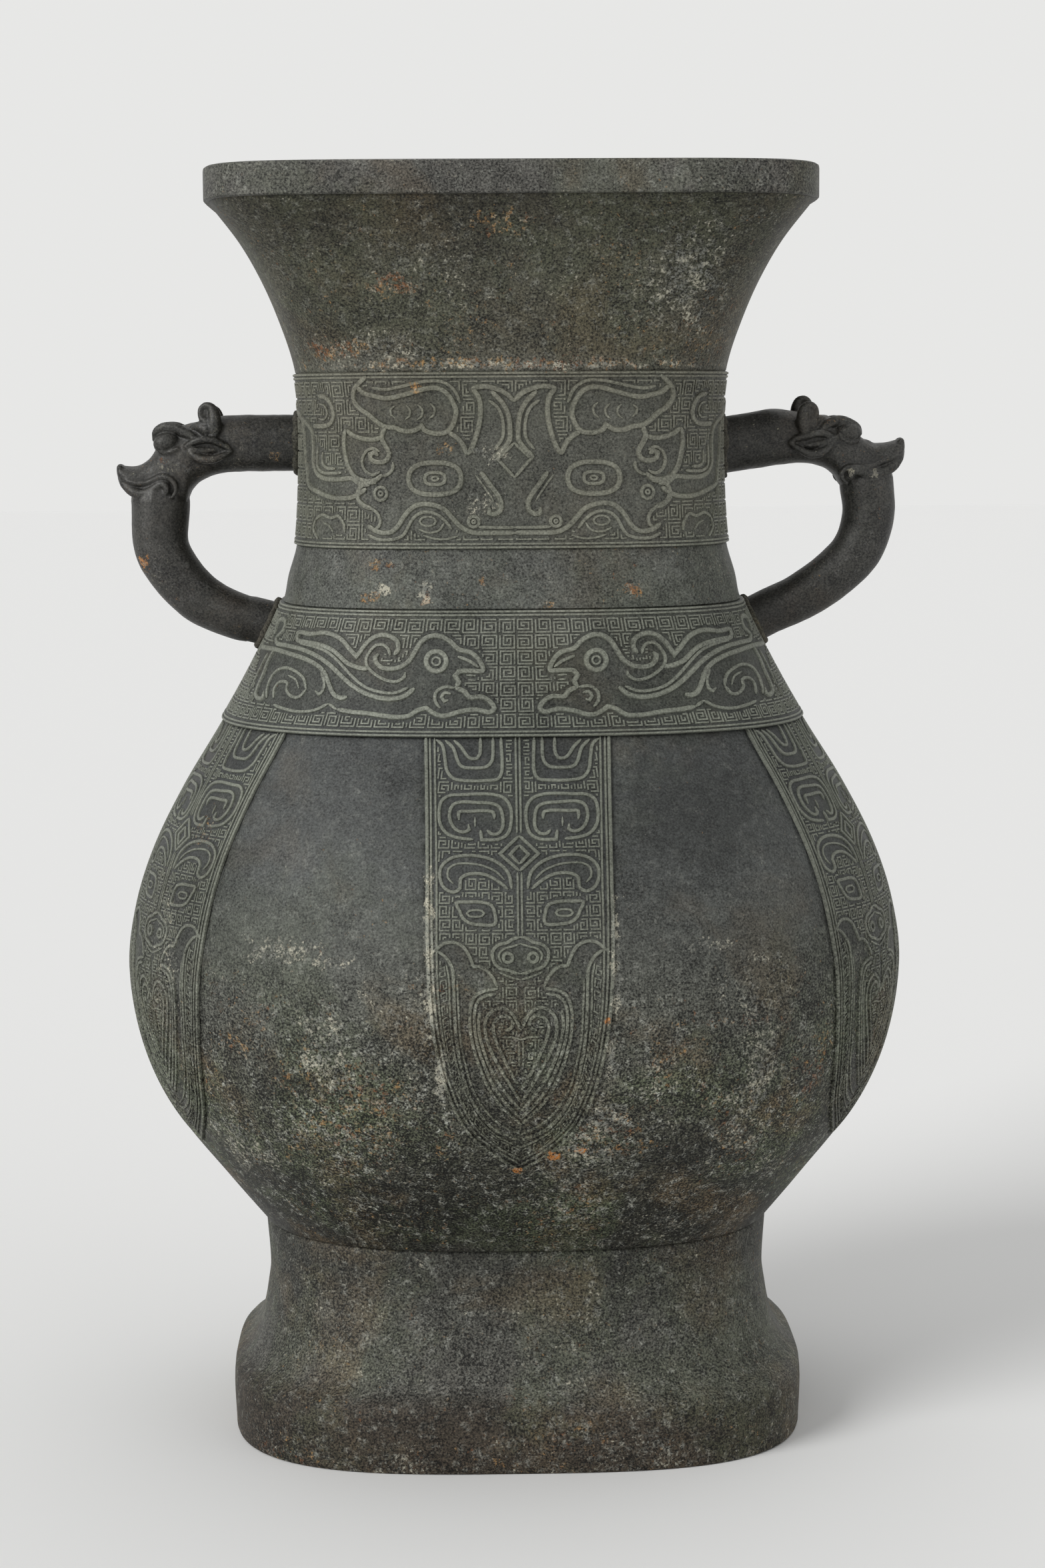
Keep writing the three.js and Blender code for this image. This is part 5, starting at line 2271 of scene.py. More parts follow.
class NodeSheet:
    """A material's nodes, added one after another."""

    VASE_HEIGHT = 0.48
    LEVEL_EDGE = Cloud(14.0, 3.0)

    def __init__(self, name: str) -> None:
        """Starts a material with its shader and output.

        Args:
            name: Name of the material.
        """
        self.material = bpy.data.materials.new(name)
        self.material.use_nodes = True
        self.nodes = self.material.node_tree.nodes
        self.links = self.material.node_tree.links
        self.nodes.clear()
        output = self.nodes.new("ShaderNodeOutputMaterial")
        self.shader = self.nodes.new("ShaderNodeBsdfPrincipled")
        self.links.new(self.shader.outputs["BSDF"], output.inputs["Surface"])
        self.place = self.nodes.new("ShaderNodeTexCoord").outputs["Object"]

    def put(self, socket: Socket, value: Value) -> None:
        """Sets a socket, or links it where the value is another socket.

        Args:
            socket: The socket.
            value: What it gets.
        """
        if isinstance(value, Socket):
            self.links.new(value, socket)
        else:
            socket.default_value = value

    def add(self, kind: str, **values: Value) -> bpy.types.Node:
        """Adds one node.

        Args:
            kind: Blender's name for the node's type.
            values: Values for its sockets, by name, with _ for a space.

        Returns:
            The node.
        """
        node = self.nodes.new(kind)
        for name, value in values.items():
            self.put(node.inputs[name.replace("_", " ")], value)
        return node

    def attribute(self, name: str) -> Socket:
        """A value that the mesh carries.

        Args:
            name: The attribute's name.

        Returns:
            The value.
        """
        node = self.nodes.new("ShaderNodeAttribute")
        node.attribute_name = name
        return node.outputs["Fac"]

    def noise(self, cloud: Cloud) -> Socket:
        """A noise, from 0 to 1.

        Args:
            cloud: Its fineness and form.

        Returns:
            The value.
        """
        node = self.add(
            "ShaderNodeTexNoise", Vector=self.place, Scale=cloud.scale, Detail=cloud.detail,
            Roughness=cloud.rough, Distortion=cloud.lean,
        )
        return node.outputs["Fac"]

    def cells(self, scale: float) -> Socket:
        """Distance to the nearest of many scattered points."""
        return self.add("ShaderNodeTexVoronoi", Vector=self.place, Scale=scale).outputs["Distance"]

    def math(self, operation: str, a: Value, b: Value, clamp: bool = False) -> Socket:
        """One sum.

        Args:
            operation: Blender's name for it.
            a: The first value.
            b: The second value.
            clamp: Whether the result is kept from 0 to 1.

        Returns:
            The result.
        """
        node = self.nodes.new("ShaderNodeMath")
        node.operation = operation
        node.use_clamp = clamp
        self.put(node.inputs[0], a)
        self.put(node.inputs[1], b)
        return node.outputs[0]

    def times(self, a: Value, b: Value) -> Socket:
        """One value times another."""
        return self.math("MULTIPLY", a, b)

    def swing(self, value: Socket, amount: float) -> Socket:
        """A noise as a swing to both sides of zero."""
        return self.times(self.math("SUBTRACT", value, 0.5), amount)

    def away(self, middle: Sequence[float], half: Sequence[float]) -> Socket:
        """How far each place lies from a middle, where 1 is the edge of an oval round it.

        Args:
            middle: The middle, in metres.
            half: Half sizes of the oval, in metres.

        Returns:
            The distance.
        """
        value: Value = self.place
        for operation, other in (("SUBTRACT", middle), ("MULTIPLY", tuple(1 / reach for reach in half))):
            node = self.nodes.new("ShaderNodeVectorMath")
            node.operation = operation
            self.put(node.inputs[0], value)
            self.put(node.inputs[1], other)
            value = node.outputs[0]
        length = self.nodes.new("ShaderNodeVectorMath")
        length.operation = "LENGTH"
        self.put(length.inputs[0], value)
        return length.outputs["Value"]

    def window(self, value: Socket, low: float, high: float) -> Socket:
        """0 below the low value, 1 above the high one, smooth between.

        Args:
            value: The value.
            low: Where the result starts.
            high: Where it is full.

        Returns:
            The result.
        """
        node = self.add("ShaderNodeMapRange", Value=value, From_Min=low, From_Max=high)
        node.interpolation_type = "SMOOTHSTEP"
        return node.outputs["Result"]

    def spread(self, value: Socket, low: float, high: float) -> Socket:
        """A value from 0 to 1 spread between two others."""
        return self.add("ShaderNodeMapRange", Value=value, To_Min=low, To_Max=high).outputs["Result"]

    def mix(self, share: Value, first: Value, second: Value, blend: str = "MIX") -> Socket:
        """One colour over another.

        Args:
            share: How much of the second one shows.
            first: The colour below.
            second: The colour on top.
            blend: Blender's name for the way they mix.

        Returns:
            The colour.
        """
        node = self.nodes.new("ShaderNodeMix")
        node.data_type = "RGBA"
        node.blend_type = blend
        for index, value in ((0, share), (6, first), (7, second)):
            self.put(node.inputs[index], value)
        return node.outputs[2]

    def ramp(self, value: Socket, stops: Sequence[tuple[float, Colour]]) -> Socket:
        """Colours along a value from 0 to 1.

        Args:
            value: The value.
            stops: Places and their colours, from the lowest.

        Returns:
            The colour.
        """
        node = self.add("ShaderNodeValToRGB", Fac=value)
        band = node.color_ramp
        while len(band.elements) < len(stops):
            band.elements.new(0.5)
        for element, (at, colour) in zip(band.elements, stops):
            element.position = at
            element.color = colour
        return node.outputs["Color"]

    def height(self, waviness: float) -> Socket:
        """The height on the vase from 0 to 1, with a wandering edge.

        Args:
            waviness: How far it wanders.

        Returns:
            The height.
        """
        level = self.add("ShaderNodeSeparateXYZ", Vector=self.place).outputs["Z"]
        up = self.times(level, 1 / self.VASE_HEIGHT)
        return self.math("ADD", up, self.swing(self.noise(self.LEVEL_EDGE), waviness))

    def bump(self, value: Socket, depth: float, strength: float = 1.0) -> None:
        """Raises the surface by a value, over what was raised before.

        Args:
            value: The value.
            depth: How high a value of 1 stands, in millimetres.
            strength: How much of it shows.
        """
        node = self.add("ShaderNodeBump", Height=value, Distance=depth * MM, Strength=strength)
        before = self.shader.inputs["Normal"]
        if before.is_linked:
            self.links.new(before.links[0].from_socket, node.inputs["Normal"])
        self.links.new(node.outputs["Normal"], before)


class Deposit(Enum):
    """What a stain is made of, but for a few pale and dark ones that are painted light and shade."""

    PALE = "pale"
    WARM = "warm"
    DARK = "dark"
    GREEN = "green"


@dataclass(frozen=True)
class PlacedStain:
    """A stain or a patch of painted light and shade on the vase: its middle and half sizes in metres."""

    deposit: Deposit
    middle: tuple[float, float, float]
    half: tuple[float, float, float]
    strength: float
    on_handle: bool


@dataclass(frozen=True)
class Stain:
    """A stain seen in the photograph; a few stand for painted light and shade.

    Attributes:
        deposit: What it is made of.
        middle: Its middle, in the photograph's pixels.
        half: Its half breadth and half height, in pixels.
        strength: How dense it is.
        front: How far in front of the vase's middle it lies, in millimetres, for one on a handle.
    """

    deposit: Deposit
    middle: Pixel
    half: Pixel
    strength: float = 1.0
    front: float | None = None

    def place(self, view: PhotoView, outline: Outline) -> PlacedStain:
        """Finds the stain on the vase.

        Args:
            view: The camera.
            outline: The body.

        Returns:
            The stain in metres.
        """
        scale = view.distance / view.focal_pixels
        if self.front is None:
            along, z = view.flatten(outline, [self.middle], view.axis_column)[0]
            share = along / outline.quarter_at(z)
            x, y, z = outline.point(np.array([share]), np.array([z]))[0]
            scale *= (view.distance + y) / view.distance
        else:
            pitch = math.radians(view.pitch)
            down = math.tan(pitch + math.atan((self.middle[1] - view.frame_height / 2) / view.focal_pixels))
            x = (self.middle[0] - view.axis_column) * scale
            y, z = -self.front, view.height - (view.distance - self.front) * down
        breadth, tall = self.half[0] * scale * MM, self.half[1] * scale * MM
        half = (breadth, max(breadth, tall, 0.0 if self.front is None else self.front * MM), tall)
        middle = (x * MM, y * MM, z * MM)
        return PlacedStain(self.deposit, middle, half, self.strength, self.front is not None)


STAINS_AND_PAINTED_LIGHT = (
    Stain(Deposit.PALE, (405, 1424), (72, 26), 0.86),
    Stain(Deposit.PALE, (480, 1440), (46, 14), 0.8),
    Stain(Deposit.PALE, (1050, 1422), (60, 16), 0.75),
    Stain(Deposit.PALE, (1140, 1440), (60, 12), 0.7),
    Stain(Deposit.PALE, (240, 1420), (30, 160), 0.62),
    Stain(Deposit.WARM, (300, 1240), (30, 40), 0.6),
    Stain(Deposit.PALE, (1296, 1380), (24, 130), 0.5),
    Stain(Deposit.PALE, (633, 1440), (11, 165), 1.5),
    Stain(Deposit.PALE, (648, 1612), (11, 46), 1.3),
    Stain(Deposit.PALE, (912, 1450), (9, 130), 1.15),
    Stain(Deposit.PALE, (904, 1580), (9, 50), 1.1),
    Stain(Deposit.PALE, (770, 548), (300, 10), 0.85),
    Stain(Deposit.WARM, (770, 545), (320, 12), 0.8),
    Stain(Deposit.WARM, (750, 332), (78, 26), 0.66),
    Stain(Deposit.WARM, (500, 524), (70, 20), 0.85),
    Stain(Deposit.WARM, (585, 428), (52, 22), 0.85),
    Stain(Deposit.PALE, (640, 400), (110, 70), 0.5),
    Stain(Deposit.PALE, (571, 884), (20, 14), 1.1),
    Stain(Deposit.PALE, (632, 888), (16, 18), 1.1),
    Stain(Deposit.WARM, (552, 894), (26, 12), 0.9),
    Stain(Deposit.WARM, (634, 900), (12, 16), 1.0),
    Stain(Deposit.WARM, (565, 846), (40, 12), 0.7),
    Stain(Deposit.WARM, (721, 872), (10, 10), 0.8),
    Stain(Deposit.WARM, (820, 908), (12, 8), 0.8),
    Stain(Deposit.WARM, (946, 888), (18, 16), 0.9),
    Stain(Deposit.PALE, (716, 754), (40, 30), 0.7),
    Stain(Deposit.PALE, (740, 680), (40, 20), 0.8),
    Stain(Deposit.WARM, (668, 672), (16, 14), 0.8),
    Stain(Deposit.WARM, (622, 580), (14, 12), 0.9),
    Stain(Deposit.WARM, (345, 1560), (60, 20), 0.7),
    Stain(Deposit.WARM, (1085, 1537), (150, 12), 0.5),
    Stain(Deposit.WARM, (886, 1727), (130, 10), 0.6),
    Stain(Deposit.WARM, (767, 1757), (13, 8), 1.3),
    Stain(Deposit.WARM, (818, 1738), (15, 13), 1.2),
    Stain(Deposit.WARM, (864, 1729), (17, 9), 1.2),
    Stain(Deposit.WARM, (900, 1535), (6, 12), 1.1),
    Stain(Deposit.PALE, (622, 1466), (10, 16), 1.1),
    Stain(Deposit.WARM, (640, 1480), (60, 10), 0.6),
    # Painted light: the right flank of the flared neck made paler where light falls on it.
    Stain(Deposit.PALE, (1035, 420), (70, 110), 0.8),
    # Painted shade: the left flank of the flared neck made darker.
    Stain(Deposit.DARK, (480, 470), (70, 60), 0.4),
    Stain(Deposit.PALE, (560, 1600), (150, 60), 0.45),
    Stain(Deposit.PALE, (770, 1894), (330, 6), 0.7),
    Stain(Deposit.DARK, (416, 1627), (50, 26), 0.8),
    Stain(Deposit.DARK, (542, 1790), (70, 30), 0.7),
    Stain(Deposit.DARK, (1012, 1736), (70, 30), 0.8),
    Stain(Deposit.DARK, (770, 1830), (330, 34), 0.45),
    # Painted shade over the upper belly's right-hand panel, which faces away from the key light.
    Stain(Deposit.DARK, (1030, 1220), (130, 130), 0.6),
    Stain(Deposit.GREEN, (560, 1700), (120, 60), 0.5),
    Stain(Deposit.WARM, (222, 842), (12, 18), 1.2, 9.0),
    Stain(Deposit.WARM, (228, 880), (8, 8), 1.1, 9.0),
    Stain(Deposit.PALE, (262, 700), (40, 14), 0.7, 10.0),
    Stain(Deposit.PALE, (1308, 715), (9, 8), 1.3, 9.0),
    Stain(Deposit.PALE, (1272, 712), (5, 6), 1.4, 11.0),
    Stain(Deposit.WARM, (254, 686), (8, 6), 0.8, 9.0),
    Stain(Deposit.WARM, (416, 682), (12, 8), 0.9, 10.0),
    Stain(Deposit.PALE, (380, 640), (30, 10), 0.5, 10.0),
)


def _greys(*stops: Pair) -> tuple[tuple[float, Colour], ...]:
    """Plain values along the height, as the ramp takes them."""
    return tuple((at, (value, value, value, 1.0)) for at, value in stops)


# How much crust there is, and how coarse the surface is, by the share of the vase's height
CRUSTING = _greys(
    (0.0, 0.62), (0.05, 0.5), (0.1, 0.5), (0.165, 0.45), (0.2, 0.6), (0.3, 0.85), (0.38, 0.62),
    (0.42, 0.26), (0.56, 0.1), (0.6, 0.16), (0.665, 0.3), (0.69, 0.42), (0.72, 0.3), (0.845, 0.42),
    (0.86, 0.66), (0.9, 0.5), (0.97, 0.42), (1.0, 0.4),
)
COARSENESS = _greys(
    (0.0, 0.6), (0.05, 0.55), (0.165, 0.52), (0.2, 0.95), (0.3, 0.95), (0.37, 0.6), (0.42, 0.32),
    (0.5, 0.22), (0.57, 0.22), (0.6, 0.28), (0.665, 0.28), (0.675, 0.34), (0.71, 0.34), (0.72, 0.28),
    (0.845, 0.28), (0.86, 0.45), (1.0, 0.42),
)
COARSEST = 1.6

CLOUDS = Cloud(10.0, 3.0, 0.5, 0.5)
PATCHES = Cloud(44.0, 4.0, 0.6, 0.3)
WANDER = Cloud(130.0, 4.0, 0.65)
GRAIN = Cloud(1250.0, 2.0, 0.75)
RAGGED = Cloud(230.0, 6.0, 0.75)
BLOT_DRIFT = Cloud(32.0, 3.0, 0.6)
BLOT_SCALE = 250.0
BLOT_AMOUNT = 0.34
EARTH = Cloud(85.0, 3.0)
EARTH_CORES = Cloud(330.0, 4.0, 0.7)
PALE_DRIFT, PALE_SPECKS = Cloud(26.0, 4.0, 0.7, 0.6), Cloud(700.0, 6.0, 0.72)
WARM_DRIFT, WARM_SPECKS = Cloud(34.0, 4.0, 0.7, 0.6), Cloud(540.0, 6.0, 0.72)
MOSS = Veil(Cloud(17.0, 5.0, 0.66, 0.4), 0.46, 0.6, 0.42)
BROWNING = Veil(Cloud(23.0, 4.0, 0.6, 0.5), 0.5, 0.68, 0.5)
BLOOM = Veil(Cloud(280.0, 5.0, 0.75), 0.5, 0.7, 0.55)
PITTING = Veil(Cloud(520.0, 3.0, 0.6), 0.6, 0.7, 0.55)


@dataclass(frozen=True)
class Weathering:
    """How the layers of the patina meet, the same for all the finishes.

    Pairs are the values of a noise between which a layer goes from nothing to full.
    """

    level_wander: float = 0.04
    green_stain: float = 0.7
    dark_stain_and_shade: float = 0.5
    blot_sizes: Pair = (0.34, 0.16)
    blot_drifts: Pair = (0.52, 0.62)
    chalk_edge: Pair = (0.42, 0.6)
    chalk_cover: float = 0.85
    earth_cover: float = 0.75
    earth_edge: Pair = (0.42, 0.58)
    amber_edge: Pair = (0.8, 1.1)
    core_edge: Pair = (0.5, 0.62)
    core_cover: float = 0.7
    clouds: float = 0.9
    patches: float = 1.2
    wander: float = 2.3
    grain: float = 8.5
    least_light: float = 0.12
    # How light the ornament's dark ground and the painted shade get where the ground attribute is full.
    ground_and_shade_level: float = 0.7
    ground_crust: float = 0.45
    stain_rag: float = 3.6
    stain_edge: Pair = (1.25, 0.35)
    drift_edge: Pair = (0.38, 0.64)
    drift_lift: float = 0.26
    speck_edge: Pair = (0.67, 0.77)
    hole_edge: Pair = (0.36, 0.5)
    roughness_swing: float = 0.14
    crust_roughness: float = 0.2
    wander_depth: float = 1.5
    wander_show: float = 0.6
    crust_depth: float = 0.12
    crust_show: float = 0.7


RULES = Weathering()


@dataclass(frozen=True)
class Patina:
    """An aged bronze finish.

    Attributes:
        name: Name of the material.
        levels: Colours by the share of the vase's height.
        dark: Colour of the dark clouds and pits.
        pale: Colour of the pale bloom.
        green: Colour of the green tinge.
        brown: Colour of the brown tinge.
        crust: Colour of the pale crust.
        ochre: Colour of the earth.
        rust: Colour of the rust.
        amber: Colour of the brightest rust.
        speckle: How much crust there is.
        warmth: How much of the crust is earth and rust.
        contrast: How strong the clouds and the grain are.
        roughness: Mean roughness.
        metal: How metallic it is.
        gloss: How strongly it reflects at a glance.
        grain: Depth of the casting's grain, in millimetres.
    """

    name: str
    levels: tuple[tuple[float, Colour], ...]
    dark: Colour = tint(40, 39, 33)
    pale: Colour = tint(128, 129, 122)
    green: Colour = tint(67, 73, 55)
    brown: Colour = tint(80, 68, 50)
    crust: Colour = tint(192, 188, 170)
    ochre: Colour = tint(176, 140, 92)
    rust: Colour = tint(126, 84, 56)
    amber: Colour = tint(206, 132, 58)
    speckle: float = 1.0
    warmth: float = 0.8
    contrast: float = 1.0
    roughness: float = 0.6
    metal: float = 0.22
    gloss: float = 0.3
    grain: float = 0.1

    def make(self, stains: Sequence[PlacedStain] = ()) -> bpy.types.Material:
        """Builds the material.

        Args:
            stains: Stains, and a few patches of painted light and shade, at their own places.

        Returns:
            The material.
        """
        sheet = NodeSheet(self.name)
        up = sheet.height(RULES.level_wander)
        coarse = sheet.times(sheet.ramp(up, COARSENESS), self.contrast * COARSEST)
        wander, patches, grain = sheet.noise(WANDER), sheet.noise(PATCHES), sheet.noise(GRAIN)
        found = self._stains(sheet, stains)
        colour = sheet.ramp(up, self.levels)
        colour, _ = self._veil(sheet, MOSS, coarse, colour, self.green)
        colour, _ = self._veil(sheet, BROWNING, coarse, colour, self.brown)
        if Deposit.GREEN in found:
            colour = sheet.mix(sheet.times(found[Deposit.GREEN], RULES.green_stain), colour, self.green)
        colour, _ = self._veil(sheet, BLOOM, coarse, colour, self.pale)
        blots = sheet.times(sheet.window(sheet.cells(BLOT_SCALE), *RULES.blot_sizes), coarse)
        blots = sheet.times(sheet.window(sheet.noise(BLOT_DRIFT), *RULES.blot_drifts), blots)
        colour = sheet.mix(sheet.times(blots, BLOT_AMOUNT), colour, self.pale)
        light = self._light(sheet, coarse, patches, wander, grain)
        # Dark stains darken the colour, and so does the painted shade among them.
        if Deposit.DARK in found:
            light = sheet.times(light, sheet.spread(found[Deposit.DARK], 1.0, RULES.dark_stain_and_shade))
        colour = sheet.mix(1.0, colour, light, "MULTIPLY")
        colour, pits = self._veil(sheet, PITTING, coarse, colour, self.dark)
        pale, warm = self._crust(sheet, up, found, grain)
        colour = sheet.mix(sheet.times(warm, RULES.earth_cover), colour, self._earth(sheet, found))
        chalk = sheet.mix(sheet.window(wander, *RULES.chalk_edge), self.pale, self.crust)
        colour = sheet.mix(sheet.times(pale, RULES.chalk_cover), colour, chalk)
        sheet.put(sheet.shader.inputs["Base Color"], colour)
        sheet.put(sheet.shader.inputs["Metallic"], self.metal)
        sheet.put(sheet.shader.inputs["Specular IOR Level"], self.gloss)
        swing = RULES.roughness_swing
        rough = sheet.spread(patches, self.roughness - swing, self.roughness + swing)
        dry = sheet.times(sheet.math("ADD", pale, warm), RULES.crust_roughness)
        rough = sheet.math("ADD", rough, dry, clamp=True)
        sheet.put(sheet.shader.inputs["Roughness"], rough)
        sheet.bump(sheet.times(grain, coarse), self.grain)
        sheet.bump(wander, self.grain * RULES.wander_depth, RULES.wander_show)
        heaped = sheet.math("SUBTRACT", sheet.math("MAXIMUM", pale, warm), pits)
        sheet.bump(heaped, RULES.crust_depth, RULES.crust_show)
        return sheet.material

    def _veil(
        self, sheet: NodeSheet, veil: Veil, coarse: Socket, below: Socket, above: Colour
    ) -> tuple[Socket, Socket]:
        """Lays patches of a colour over the patina, densest where it is coarse.

        Args:
            sheet: The nodes.
            veil: The patches.
            coarse: How coarse the surface is.
            below: The colour under them.
            above: Their colour.

        Returns:
            The colour, and the patches before their amount.
        """
        patches = sheet.times(sheet.window(sheet.noise(veil.cloud), veil.low, veil.high), coarse)
        return sheet.mix(sheet.times(patches, veil.amount), below, above), patches

    def _light(
        self, sheet: NodeSheet, coarse: Socket, patches: Socket, wander: Socket, grain: Socket
    ) -> Socket:
        """How much lighter or darker each place is, with the ornament's ground darkest and painted shade on
        flanks, grooves and hollows.

        Args:
            sheet: The nodes.
            coarse: How coarse the surface is.
            patches: The middling noise.
            wander: The noise under that.
            grain: The finest noise.

        Returns:
            A share of the colour.
        """
        total: Value = 1.0
        for value, amount in ((sheet.noise(CLOUDS), RULES.clouds), (patches, RULES.patches)):
            total = sheet.math("ADD", sheet.swing(value, amount * self.contrast), total)
        for value, amount in ((wander, RULES.wander), (grain, RULES.grain)):
            total = sheet.math("ADD", sheet.times(sheet.swing(value, amount), coarse), total)
        total = sheet.math("MAXIMUM", total, RULES.least_light)
        return sheet.times(total, sheet.spread(sheet.attribute("ground"), 1.0, RULES.ground_and_shade_level))

    def _stains(self, sheet: NodeSheet, stains: Sequence[PlacedStain]) -> dict[Deposit, Socket]:
        """Patches at their own places with ragged edges.

        Args:
            sheet: The nodes.
            stains: The stains.

        Returns:
            A share for each deposit.
        """
        found: dict[Deposit, Socket] = {}
        ragged = sheet.swing(sheet.noise(RAGGED), RULES.stain_rag)
        for stain in stains:
            away = sheet.math("ADD", sheet.away(stain.middle, stain.half), ragged)
            part = sheet.times(sheet.window(away, *RULES.stain_edge), stain.strength)
            before = found.get(stain.deposit)
            found[stain.deposit] = part if before is None else sheet.math("MAXIMUM", before, part)
        return found

    def _earth(self, sheet: NodeSheet, found: dict[Deposit, Socket]) -> Socket:
        """The colour of earth and rust, brightest in the middle of a warm stain.

        Args:
            sheet: The nodes.
            found: The stains.

        Returns:
            The colour.
        """
        earth = sheet.mix(sheet.window(sheet.noise(EARTH), *RULES.earth_edge), self.ochre, self.rust)
        if Deposit.WARM in found:
            earth = sheet.mix(sheet.window(found[Deposit.WARM], *RULES.amber_edge), earth, self.amber)
        cores = sheet.window(sheet.noise(EARTH_CORES), *RULES.core_edge)
        return sheet.mix(sheet.times(cores, RULES.core_cover), earth, self.crust)

    def _crust(
        self, sheet: NodeSheet, up: Socket, found: dict[Deposit, Socket], grain: Socket
    ) -> tuple[Socket, Socket]:
        """Pale crust, and earth with rust, as ragged specks that gather in drifts.

        Args:
            sheet: The nodes.
            up: The height.
            found: The stains.
            grain: The finest noise, which leaves small holes in the crust.

        Returns:
            The share of each.
        """
        band = sheet.times(sheet.ramp(up, CRUSTING), self.speckle)
        # Less crust where the ground attribute is marked: the ornament's ground, and the flanks, grooves
        # and hollows that carry painted shade.
        band = sheet.times(band, sheet.spread(sheet.attribute("ground"), 1.0, RULES.ground_crust))
        made = []
        for deposit, drift, specks, share in (
            (Deposit.PALE, PALE_DRIFT, PALE_SPECKS, 1.0),
            (Deposit.WARM, WARM_DRIFT, WARM_SPECKS, self.warmth),
        ):
            gathered = sheet.window(sheet.noise(drift), *RULES.drift_edge)
            density = sheet.times(sheet.times(band, gathered), share)
            if deposit in found:
                density = sheet.math("MAXIMUM", density, found[deposit])
            lifted = sheet.math("ADD", sheet.noise(specks), sheet.times(density, RULES.drift_lift))
            holes = sheet.window(grain, *RULES.hole_edge)
            made.append(sheet.times(sheet.window(lifted, *RULES.speck_edge), holes))
        return made[0], made[1]


BODY_LEVELS = (
    (0.0, tint(60, 56, 49)), (0.17, tint(44, 43, 38)), (0.2, tint(37, 37, 31)), (0.29, tint(59, 59, 51)),
    (0.38, tint(73, 74, 68)), (0.47, tint(71, 73, 71)), (0.57, tint(65, 67, 66)), (0.6, tint(74, 76, 71)),
    (0.665, tint(80, 82, 77)), (0.71, tint(76, 77, 73)), (0.72, tint(92, 93, 86)),
    (0.845, tint(92, 92, 84)), (0.86, tint(73, 71, 61)), (0.92, tint(69, 68, 58)),
    (0.975, tint(55, 53, 44)),
)
RELIEF_LEVELS = (
    (0.2, tint(64, 65, 56)), (0.3, tint(84, 85, 74)), (0.4, tint(106, 108, 98)),
    (0.57, tint(116, 119, 109)), (0.66, tint(120, 122, 112)), (0.72, tint(114, 115, 104)),
    (0.85, tint(114, 113, 101)),
)
LIP_LEVELS = ((0.9, tint(76, 75, 70)), (1.0, tint(78, 77, 73)))
FOOT_LEVELS = (
    (0.0, tint(54, 48, 40)), (0.05, tint(55, 50, 43)), (0.06, tint(74, 73, 68)), (0.12, tint(68, 68, 63)),
    (0.165, tint(52, 52, 47)),
)
HANDLE_LEVELS = ((0.6, tint(52, 51, 48)), (0.8, tint(50, 49, 46)), (1.0, tint(48, 47, 43)))


def finishes(stains: Sequence[PlacedStain]) -> dict[str, bpy.types.Material]:
    """Builds all the materials.

    Args:
        stains: Stains, and a few patches of painted light and shade, at their own places.

    Returns:
        The materials, by the names of the record's slots, and the ornament's.
    """
    body_stains = [stain for stain in stains if not stain.on_handle]
    handle_stains = [stain for stain in stains if stain.on_handle]
    relief_stains = [stain for stain in body_stains if stain.deposit in (Deposit.PALE, Deposit.WARM)]
    return {
        "body_bronze": Patina("body_patina", BODY_LEVELS).make(body_stains),
        "relief": Patina(
            "relief_patina", RELIEF_LEVELS, dark=tint(58, 58, 49), pale=tint(146, 148, 138),
            green=tint(92, 100, 82), brown=tint(98, 90, 72), speckle=0.7, warmth=0.6, contrast=0.65,
            roughness=0.56, grain=0.03,
        ).make(relief_stains),
        "lip_bronze": Patina("lip_patina", LIP_LEVELS, speckle=0.8).make(),
        "foot_bronze": Patina("foot_patina", FOOT_LEVELS, roughness=0.64).make(),
        "handle_bronze": Patina(
            "handle_patina", HANDLE_LEVELS, dark=tint(26, 25, 23), pale=tint(88, 88, 86),
            green=tint(52, 54, 48), brown=tint(64, 54, 42), crust=tint(150, 146, 130),
            speckle=1.2, contrast=1.2, roughness=0.5, metal=0.3, gloss=0.5, grain=0.05,
        ).make(handle_stains),
        "solder": Patina(
            "solder_crust", ((0.5, tint(66, 63, 55)), (1.0, tint(70, 68, 61))), dark=tint(36, 33, 28),
            pale=tint(112, 110, 100), green=tint(64, 68, 54), warmth=0.7, contrast=1.1, roughness=0.76,
            metal=0.15, grain=0.25,
        ).make(),
        "tenon_bronze": Patina(
            "tenon_patina", ((0.5, tint(74, 66, 52)), (1.0, tint(74, 66, 52))), roughness=0.62,
        ).make(),
    }


@dataclass(frozen=True)
class Lamp:
    """A broad soft lamp.

    Attributes:
        name: Its name.
        place: Where it lies, as seen from the vase.
        breadth: Degrees that it spans.
        power: Its strength.
    """

    name: str
    place: tuple[float, float, float]
    breadth: float
    power: float


